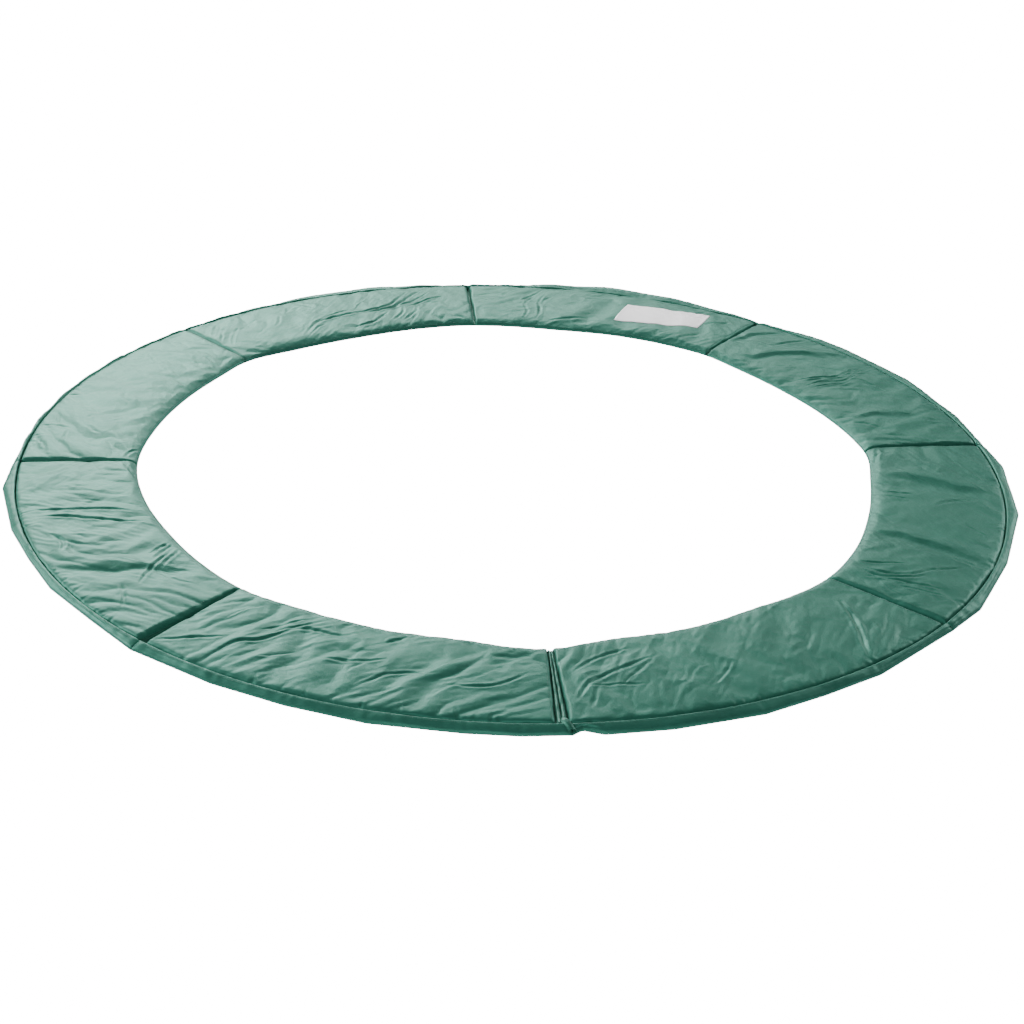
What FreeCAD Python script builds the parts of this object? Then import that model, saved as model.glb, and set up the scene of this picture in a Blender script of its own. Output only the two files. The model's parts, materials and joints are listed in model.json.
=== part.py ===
"""Round padded ring that covers the springs of a garden trampoline.

Eight foam-filled fabric panels are sewn end to end into a flat ring, with a skirt along
the outer edge. Every panel is a separate pad: a base sheet, a foam slab, a crowned top
cover, a length of skirt and two fastening loops. Narrow webs join the panels at the
seams, and the pad folds on them.

Frame: origin at the ring's centre on the surface it lies on, +Z up. Azimuths are in
degrees, clockwise seen from above, from +Y. Millimetres.
"""
import FreeCAD, Part
import math
import os

# Ring in plan. The inner edge of a panel is flatter than the ring.
PANEL_COUNT = 8
OUTER_RADIUS = 1220.0
INNER_SEAM_RADIUS = 930.0
INNER_MIDDLE_RADIUS = 906.0
SEAM_GAP = 12.0

# Heights of a panel above the ground, and the widths of its rounded edges.
SHEET = 1.0
SEAM_WALL_HEIGHT = 6.5
INNER_WALL_HEIGHT = 7.5
OUTER_WALL_HEIGHT = 11.0
SHOULDER_HEIGHT = 18.5
CROWN_HEIGHT = 24.0
EDGE_ROUNDING = 14.0

# Point that an edge's rounding passes through: share of its width in from the wall, and
# share of the way up from the wall's top. Beside a seam the edge walls are lower, and a
# flat top still has a slight crown.
ROUNDING_IN = 0.27
ROUNDING_UP = 0.7
SEAM_WALL_SHARE = 0.6
LEAST_CROWN = 0.1

# Flat foam slab inside a panel, and how far it stays inside the pad's walls.
FOAM_THICKNESS = 15.0
FOAM_EDGE_INSET = 8.0
FOAM_SEAM_INSET = 10.0
FOAM_CLEARANCE = 0.3

# Sections that shape a panel: beside a seam (distance from the end wall, share of the
# full rise), and across its middle (azimuth from the panel's middle, share of the crown).
SEAM_SECTIONS = [(0.0, 0.0), (4.0, 0.62), (EDGE_ROUNDING, 1.0)]
MIDDLE_SECTIONS = [(-18.5, 0.55), (-12.5, 0.85), (-6.25, 0.97), (0.0, 1.0),
                   (6.25, 0.97), (12.5, 0.85), (18.5, 0.55)]
SEAM_CROWN = 0.2

# Seam allowance of the base sheet, which carries the skirt and the loops.
SEAM_ALLOWANCE = 5.0

# Skirt: a strip of cover fabric that droops from the outer seam to the ground and is
# folded back under itself. Corners of its edge are (azimuth, reach from the centre).
SKIRT_SHEET = 1.0
SKIRT_INSIDE = OUTER_RADIUS + 3.5
SKIRT_ROOT_HEIGHT = 16.5
SKIRT_FOLD_HEIGHT = 13.5
SKIRT_FOLD_DEPTH = 7.0
SKIRT_END_GAP = 0.3
SKIRT_UNDER_PAD = OUTER_RADIUS + SEAM_ALLOWANCE + 3.5
SKIRT_CORNERS = [
    (0, 1237), (10, 1240), (20, 1254), (31, 1243), (45, 1237),
    (57, 1247), (69, 1256), (81, 1243), (90, 1250),
    (95, 1262), (107, 1257), (119, 1247), (130, 1254), (135, 1243),
    (148, 1248), (155, 1247), (162, 1255), (177, 1253), (180, 1240),
    (182, 1252), (190, 1247), (199, 1249), (207, 1246), (215, 1244), (225, 1250),
    (232, 1237), (240, 1241), (247, 1236), (254, 1241), (266, 1247), (270, 1237),
    (281, 1236), (293, 1236), (304, 1237), (315, 1238),
    (326, 1247), (337, 1245), (348, 1248), (360, 1237),
]
LONGEST_SKIRT_SPAN = 8.0

# Outer fold of the skirt: depths in from its edge, and heights as shares of the fold's.
FOLD_TOE = 3.0
FOLD_EDGE_SHARE = 0.35
FOLD_LINING_TOE = 4.5
FOLD_LINING_EDGE = 1.8
FOLD_LINING_SHARE = 0.4

# Webs in the seams. The ring folds in half on two diameters that cross at right angles,
# so the webs of those seams are slit down the middle.
WEB_SHEET = 1.2
WEB_HEIGHT = 1.2
WEB_END_INSET = 3.0
FOLD_SLIT = 0.4
FOLD_SEAMS = (1, 3, 7)
JOIN_SEAM = 5

# Fastening loops of narrow elastic, folded flat against the pad's wall inside the skirt.
LOOP_LENGTH = 60.0
LOOP_WIDTH = 10.0
LOOP_DEPTH = 3.4
LOOP_SHEET = 1.2
LOOP_START = OUTER_RADIUS + 1.0
LOOP_AZIMUTHS = (-12.0, 12.0)

# Label patch sewn to the first panel.
LABEL_LENGTH = 250.0
LABEL_WIDTH = 112.0
LABEL_SHEET = 0.5
LABEL_LIFT = 0.2
LABEL_AZIMUTH = 33.0
LABEL_RADIUS = 1098.0
LABEL_TURN = -8.0

PANEL_ANGLE = 360.0 / PANEL_COUNT
HALF_ANGLE = PANEL_ANGLE / 2
HALF_GAP = SEAM_GAP / 2
UP = FreeCAD.Vector(0, 0, 1)
ORIGIN = FreeCAD.Vector(0, 0, 0)


def vec(x, y, z=0.0):
    return FreeCAD.Vector(x, y, z)


def line(a, b):
    return Part.LineSegment(a, b).toShape()


def arc(a, via, b):
    return Part.Arc(a, via, b).toShape()


def mix(low, high, share):
    return low + (high - low) * share


def turned(shape, azimuth):
    """A copy of the shape, turned clockwise about the ring's axis."""
    copy = shape.copy()
    copy.rotate(ORIGIN, UP, -azimuth)
    return copy


def inner_edge():
    """Centre and radius of the arc along a panel's inner edge."""
    half_width = INNER_SEAM_RADIUS * math.sin(math.radians(HALF_ANGLE))
    corner = INNER_SEAM_RADIUS * math.cos(math.radians(HALF_ANGLE))
    rise = INNER_MIDDLE_RADIUS - corner
    radius = (half_width ** 2 + rise ** 2) / (2 * rise)
    return vec(0, INNER_MIDDLE_RADIUS - radius), radius


def radial_line(azimuth):
    """Start and direction of a line across the band at this azimuth."""
    angle = math.radians(azimuth)
    return ORIGIN, vec(math.sin(angle), math.cos(angle))


def seam_line(distance, side):
    """Start and direction of a line beside the panel's left (-1) or right (1) seam."""
    start, along = radial_line(side * HALF_ANGLE)
    into_panel = vec(-side * along.y, side * along.x)
    return start + into_panel * distance, along


def distance_to_circle(start, direction, centre, radius):
    """Distance along a line at which it leaves a circle."""
    offset = start - centre
    along = offset.dot(direction)
    return -along + math.sqrt(along ** 2 - offset.dot(offset) + radius ** 2)


def pad_section(path, rise, crown, lift, bottom):
    """Closed section of a pad on one line across the band, rounded at both edges."""
    start, direction = path
    centre, radius = inner_edge()
    inside = distance_to_circle(start, direction, centre, radius)
    outside = distance_to_circle(start, direction, ORIGIN, OUTER_RADIUS)
    shoulder = mix(SEAM_WALL_HEIGHT, SHOULDER_HEIGHT, rise) + lift
    inner_wall = mix(SEAM_WALL_HEIGHT * SEAM_WALL_SHARE, INNER_WALL_HEIGHT, rise)
    outer_wall = mix(SEAM_WALL_HEIGHT * SEAM_WALL_SHARE, OUTER_WALL_HEIGHT, rise)
    top = shoulder + crown * (CROWN_HEIGHT - SHOULDER_HEIGHT)

    def at(distance, height):
        return start + direction * distance + vec(0, 0, height)

    def rounding(wall, wall_height, inwards):
        height = mix(wall_height, shoulder, ROUNDING_UP)
        return at(wall + inwards * EDGE_ROUNDING * ROUNDING_IN, height)

    inner_shoulder = at(inside + EDGE_ROUNDING, shoulder)
    outer_shoulder = at(outside - EDGE_ROUNDING, shoulder)
    crown_point = at((inside + outside) / 2, top + LEAST_CROWN)
    return Part.Wire([
        line(at(inside, bottom), at(inside, inner_wall)),
        arc(at(inside, inner_wall), rounding(inside, inner_wall, 1), inner_shoulder),
        arc(inner_shoulder, crown_point, outer_shoulder),
        arc(outer_shoulder, rounding(outside, outer_wall, -1), at(outside, outer_wall)),
        line(at(outside, outer_wall), at(outside, bottom)),
        line(at(outside, bottom), at(inside, bottom)),
    ])


def pad_block(lift, bottom):
    """One crowned pad about +Y, drawn in along its edges and at its seams."""
    left = []
    right = []
    for distance, rise in SEAM_SECTIONS:
        crown = SEAM_CROWN * rise
        depth = HALF_GAP + distance
        left.append(pad_section(seam_line(depth, -1), rise, crown, lift, bottom))
        right.insert(0, pad_section(seam_line(depth, 1), rise, crown, lift, bottom))
    middle = [pad_section(radial_line(azimuth), 1.0, crown, lift, bottom)
              for azimuth, crown in MIDDLE_SECTIONS]
    return Part.makeLoft(left + middle + right, True, True)


def flat_sector(reach, edge_inset, seam_inset, bottom, top):
    """Flat slab with a panel's outline, out to this reach, set in at its other edges."""
    centre, radius = inner_edge()
    radius += edge_inset
    left_start, left = seam_line(HALF_GAP + seam_inset, -1)
    right_start, right = seam_line(HALF_GAP + seam_inset, 1)
    outer_left = left_start + left * distance_to_circle(left_start, left, ORIGIN, reach)
    outer_right = right_start + right * distance_to_circle(right_start, right, ORIGIN, reach)
    inner_left = left_start + left * distance_to_circle(left_start, left, centre, radius)
    inner_right = right_start + right * distance_to_circle(right_start, right, centre, radius)
    outline = Part.Wire([
        arc(outer_left, vec(0, reach), outer_right),
        line(outer_right, inner_right),
        arc(inner_right, vec(0, INNER_MIDDLE_RADIUS + edge_inset), inner_left),
        line(inner_left, outer_left),
    ])
    slab = Part.Face(outline).extrude(vec(0, 0, top - bottom))
    slab.translate(vec(0, 0, bottom))
    return slab


def foam_slab(clearance, bottom):
    """The foam of one panel, or with a clearance the room that its cover leaves for it."""
    edge = FOAM_EDGE_INSET - clearance
    seam = FOAM_SEAM_INSET - clearance
    top = SHEET + FOAM_THICKNESS + clearance
    return flat_sector(OUTER_RADIUS - edge, edge, seam, bottom, top)


def skirt_reach(azimuth):
    """Reach of the skirt between the two corners around this azimuth."""
    for (a, reach_a), (b, reach_b) in zip(SKIRT_CORNERS, SKIRT_CORNERS[1:]):
        if a <= azimuth <= b:
            return mix(reach_a, reach_b, (azimuth - a) / (b - a))


def skirt_section(azimuth):
    """Section of the folded strip: top leaf, outer fold and the leaf underneath."""
    reach = skirt_reach(azimuth)
    sheet = SKIRT_SHEET
    fold = reach - SKIRT_FOLD_DEPTH
    outline = [
        (SKIRT_INSIDE, SKIRT_ROOT_HEIGHT),
        (fold, SKIRT_FOLD_HEIGHT),
        (reach, SKIRT_FOLD_HEIGHT * FOLD_EDGE_SHARE),
        (reach - FOLD_TOE, 0),
        (SKIRT_UNDER_PAD, 0),
        (SKIRT_UNDER_PAD, SHEET),
        (SKIRT_INSIDE, SHEET),
        (SKIRT_INSIDE, SHEET + sheet),
        (reach - FOLD_LINING_TOE, SHEET + sheet),
        (reach - FOLD_LINING_EDGE, SKIRT_FOLD_HEIGHT * FOLD_LINING_SHARE),
        (fold - sheet / 2, SKIRT_FOLD_HEIGHT - sheet),
        (SKIRT_INSIDE, SKIRT_ROOT_HEIGHT - sheet),
    ]
    start, direction = radial_line(azimuth)
    points = [start + direction * r + vec(0, 0, z) for r, z in outline]
    return Part.makePolygon(points + [points[0]])


def skirt(panel):
    """Skirt of one panel, cut a little short of the seams at its ends."""
    end_gap = math.degrees(SKIRT_END_GAP / OUTER_RADIUS)
    start = (panel - 1) * PANEL_ANGLE
    end = start + PANEL_ANGLE
    corners = [start + end_gap]
    corners += [a for a, _ in SKIRT_CORNERS if start < a < end]
    corners.append(end - end_gap)
    stations = corners[:1]
    for a, b in zip(corners, corners[1:]):
        steps = math.ceil((b - a) / LONGEST_SKIRT_SPAN)
        stations += [mix(a, b, step / steps) for step in range(1, steps + 1)]
    return Part.makeLoft([skirt_section(a) for a in stations], True, True)


def loops(panel):
    """Two flattened loops of elastic at the outer seam, for the ties to the frame."""
    opening_length = LOOP_LENGTH - 2 * LOOP_SHEET
    opening_depth = LOOP_DEPTH - 2 * LOOP_SHEET
    band = Part.makeBox(LOOP_LENGTH, LOOP_DEPTH, LOOP_WIDTH)
    opening = Part.makeBox(opening_length, opening_depth, LOOP_WIDTH)
    opening.translate(vec(LOOP_SHEET, LOOP_SHEET))
    loop = band.cut(opening)
    loop.translate(vec(-LOOP_LENGTH / 2, LOOP_START, SHEET + SKIRT_SHEET))
    middle = (panel - 0.5) * PANEL_ANGLE
    return Part.makeCompound([turned(loop, middle + offset) for offset in LOOP_AZIMUTHS])


def web(low, high):
    """Strip in a seam along +Y, from low to high across the seam."""
    start = INNER_SEAM_RADIUS + WEB_END_INSET
    length = OUTER_RADIUS - WEB_END_INSET - start
    strip = Part.makeBox(high - low, length, WEB_SHEET)
    strip.translate(vec(low, start, WEB_HEIGHT))
    return strip


def label():
    """Thin patch that follows the crown of the first panel."""
    lifted = pad_block(LABEL_LIFT + LABEL_SHEET, SHEET)
    under = pad_block(LABEL_LIFT, 0)
    cutter = Part.makeBox(LABEL_LENGTH, LABEL_WIDTH, 2 * CROWN_HEIGHT)
    cutter.translate(vec(-LABEL_LENGTH / 2, -LABEL_WIDTH / 2))
    cutter.rotate(ORIGIN, UP, LABEL_TURN)
    cutter.translate(vec(0, LABEL_RADIUS))
    cutter.rotate(ORIGIN, UP, HALF_ANGLE - LABEL_AZIMUTH)
    patch = lifted.common(cutter).cut(under)
    return turned(patch, HALF_ANGLE)


def save(name, shape):
    shape.exportStep(f"parts/{name}.step")
    print(name, "solids", len(shape.Solids), "valid", shape.isValid(), "volume", round(shape.Volume))


def save_panels():
    cover = pad_block(0.0, SHEET).cut(foam_slab(FOAM_CLEARANCE, 0.0))
    foam = foam_slab(0.0, SHEET)
    base = flat_sector(OUTER_RADIUS + SEAM_ALLOWANCE, 0.0, 0.0, 0.0, SHEET)
    for panel in range(1, PANEL_COUNT + 1):
        middle = (panel - 0.5) * PANEL_ANGLE
        save(f"panel_{panel}_cover", turned(cover, middle))
        save(f"panel_{panel}_foam", turned(foam, middle))
        save(f"panel_{panel}_base", turned(base, middle))
        save(f"panel_{panel}_skirt", skirt(panel))
        save(f"panel_{panel}_loops", loops(panel))


def save_webs():
    half_slit = FOLD_SLIT / 2
    for seam in range(1, PANEL_COUNT + 1):
        azimuth = (seam - 1) * PANEL_ANGLE
        before = seam - 1 or PANEL_COUNT
        half_before = turned(web(-HALF_GAP, -half_slit), azimuth)
        half_after = turned(web(half_slit, HALF_GAP), azimuth)
        if seam in FOLD_SEAMS:
            save(f"fold_web_{seam}_on_panel_{before}", half_before)
            save(f"fold_web_{seam}_on_panel_{seam}", half_after)
        elif seam == JOIN_SEAM:
            save("join_strip_right", half_before)
            save("join_strip_left", half_after)
        else:
            save(f"seam_web_{seam}", turned(web(-HALF_GAP, HALF_GAP), azimuth))


def main():
    os.makedirs("parts", exist_ok=True)
    save_panels()
    save_webs()
    save("label_patch", label())


main()
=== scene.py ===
"""Looks of a round padded spring cover: eight soft green pads sewn into a ring.

Every pad has a crumpled cloth cover over a foam slab, a backing sheet, a folded skirt
along its outer seam and two elastic loops. Narrow webs join the pads. Lengths are in
metres unless a name says millimetres, and azimuths in degrees, clockwise from +Y.
"""

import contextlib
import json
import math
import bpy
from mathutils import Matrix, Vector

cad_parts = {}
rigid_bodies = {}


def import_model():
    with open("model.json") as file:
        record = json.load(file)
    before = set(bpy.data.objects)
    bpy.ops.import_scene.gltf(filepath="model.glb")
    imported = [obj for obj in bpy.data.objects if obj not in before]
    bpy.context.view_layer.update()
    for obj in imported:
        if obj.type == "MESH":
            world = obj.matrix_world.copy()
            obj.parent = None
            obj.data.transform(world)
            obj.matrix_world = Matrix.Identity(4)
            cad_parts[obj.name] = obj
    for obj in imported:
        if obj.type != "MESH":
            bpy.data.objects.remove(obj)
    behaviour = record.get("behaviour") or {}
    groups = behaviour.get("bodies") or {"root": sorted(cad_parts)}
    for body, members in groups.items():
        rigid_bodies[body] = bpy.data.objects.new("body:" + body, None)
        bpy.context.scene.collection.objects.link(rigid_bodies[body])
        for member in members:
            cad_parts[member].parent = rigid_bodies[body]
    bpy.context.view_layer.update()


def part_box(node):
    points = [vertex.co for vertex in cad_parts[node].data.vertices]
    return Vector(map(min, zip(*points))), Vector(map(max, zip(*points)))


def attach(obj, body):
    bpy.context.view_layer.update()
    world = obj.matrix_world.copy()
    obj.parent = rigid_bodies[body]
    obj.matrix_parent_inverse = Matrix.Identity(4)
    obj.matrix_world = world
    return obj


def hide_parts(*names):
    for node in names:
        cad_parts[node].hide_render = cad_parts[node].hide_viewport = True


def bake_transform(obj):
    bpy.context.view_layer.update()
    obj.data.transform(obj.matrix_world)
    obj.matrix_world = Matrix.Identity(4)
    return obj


bl_info = {
    "name": "Padded Ring",
    "version": (1, 0, 0),
    "blender": (4, 5, 0),
    "location": "View3D > Sidebar > Padded Ring",
    "description": "Makes the cloth, foam and stitching of a ring of eight sewn pads",
    "category": "Add Mesh",
}

import bmesh
import bpy
import numpy as np
from bpy.props import FloatProperty, FloatVectorProperty, IntProperty, PointerProperty
from mathutils import Matrix, Vector
from mathutils.bvhtree import BVHTree

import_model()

MM = 0.001
PANELS = 8
PANEL_ANGLE = 360 / PANELS

# Plain sizes in metres: radii of a seam's ends and its length, a pad's width, its length along
# its middle and along its outer seam, its cloth's length, the skirt's radius and the length of
# one degree along the skirt.
INNER_RADIUS = 0.93
OUTER_RADIUS = 1.22
SEAM_LENGTH = 0.29
BAND = 0.3
PANEL_LENGTH = 0.84
OUTER_LENGTH = 0.96
CLOTH_LENGTH = 0.9
SKIRT_RADIUS = 1.23
SKIRT_DEGREE = SKIRT_RADIUS / 57.3

# Width of a cover over its crown, and length and width of the foam, in metres.
COVER_WIDTH = 0.305
FOAM_SIZE = (0.82, 0.285)

# Direction of the folds, in degrees clockwise from the middle of their panel.
FOLD_TURN = 48

BODY_OF_PANEL = {1: "back_right", 2: "back_right", 3: "front_right", 4: "front_right",
                 5: "front_left", 6: "front_left", 7: "back_left", 8: "back_left"}

# Ring in plan, in millimetres. Seams drift sideways from even spacing: (outer, inner) end,
# clockwise positive. Gaps between the pads' end walls: (outer, inner) end. The outer seam, the
# inner edge and the skirt's corners are (azimuth, radius).
SEAM_DRIFT = [(-5, -9), (-35, -21), (-18, -8), (16, 10), (26, 15), (-4, 4), (4, -5), (10, -18)]
SEAM_GAPS = [(5, 5), (8, 6), (9, 5), (10, 5), (24, 11), (21, 3), (13, 5), (4, 4)]
OUTER_SEAM = [(0, 1215), (45, 1219), (90, 1228), (135, 1225), (180, 1220), (225, 1221),
              (270, 1214), (315, 1212)]
INNER_EDGE = [(3, 917), (15, 908), (26, 921), (38, 927), (43.7, 927), (50, 912), (62, 902),
              (74, 909), (85, 921), (89.5, 925), (100, 907), (113, 904), (126, 916),
              (135.6, 923), (151, 904), (162, 908), (173, 907), (180.9, 929), (194, 905),
              (204, 908), (214, 909), (225.3, 920), (235, 914), (246, 910), (258, 919),
              (269.7, 929), (284, 922), (297, 921), (307, 927), (314, 940), (324, 915),
              (337, 904), (350, 914), (358, 920)]
SKIRT_CORNERS = [(0, 1235), (10, 1244), (20, 1256), (26, 1254), (33, 1247), (43.5, 1236),
                 (50, 1249), (57, 1252), (69, 1257), (81, 1251), (89, 1250), (95, 1262),
                 (107, 1260), (119, 1250), (130, 1256), (136, 1247), (148, 1251), (155, 1249),
                 (162, 1256), (171, 1253), (177.5, 1250), (179.4, 1232), (180.4, 1247),
                 (185, 1250), (190, 1249), (199, 1252), (207, 1248), (215, 1248), (225, 1250),
                 (232, 1237), (240, 1241), (247, 1236), (254, 1241), (264, 1247), (270, 1233),
                 (281, 1231), (293, 1223), (304, 1224), (315, 1220), (326, 1240), (337, 1247),
                 (348, 1248)]

# How far the skirt stands up from the ground, in mm by azimuth.
SKIRT_LIFT = [(0, 2), (6, 3), (12, 7), (20, 10), (28, 9), (35, 7), (42, 4), (46, 2), (52, 6),
              (60, 6), (70, 5), (80, 4), (89, 2), (100, 2), (112, 3), (125, 1), (150, 0.5),
              (180, 0), (230, 1), (265, 2), (290, 0), (315, 0), (325, 1), (335, 3), (345, 5),
              (353, 3)]

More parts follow.
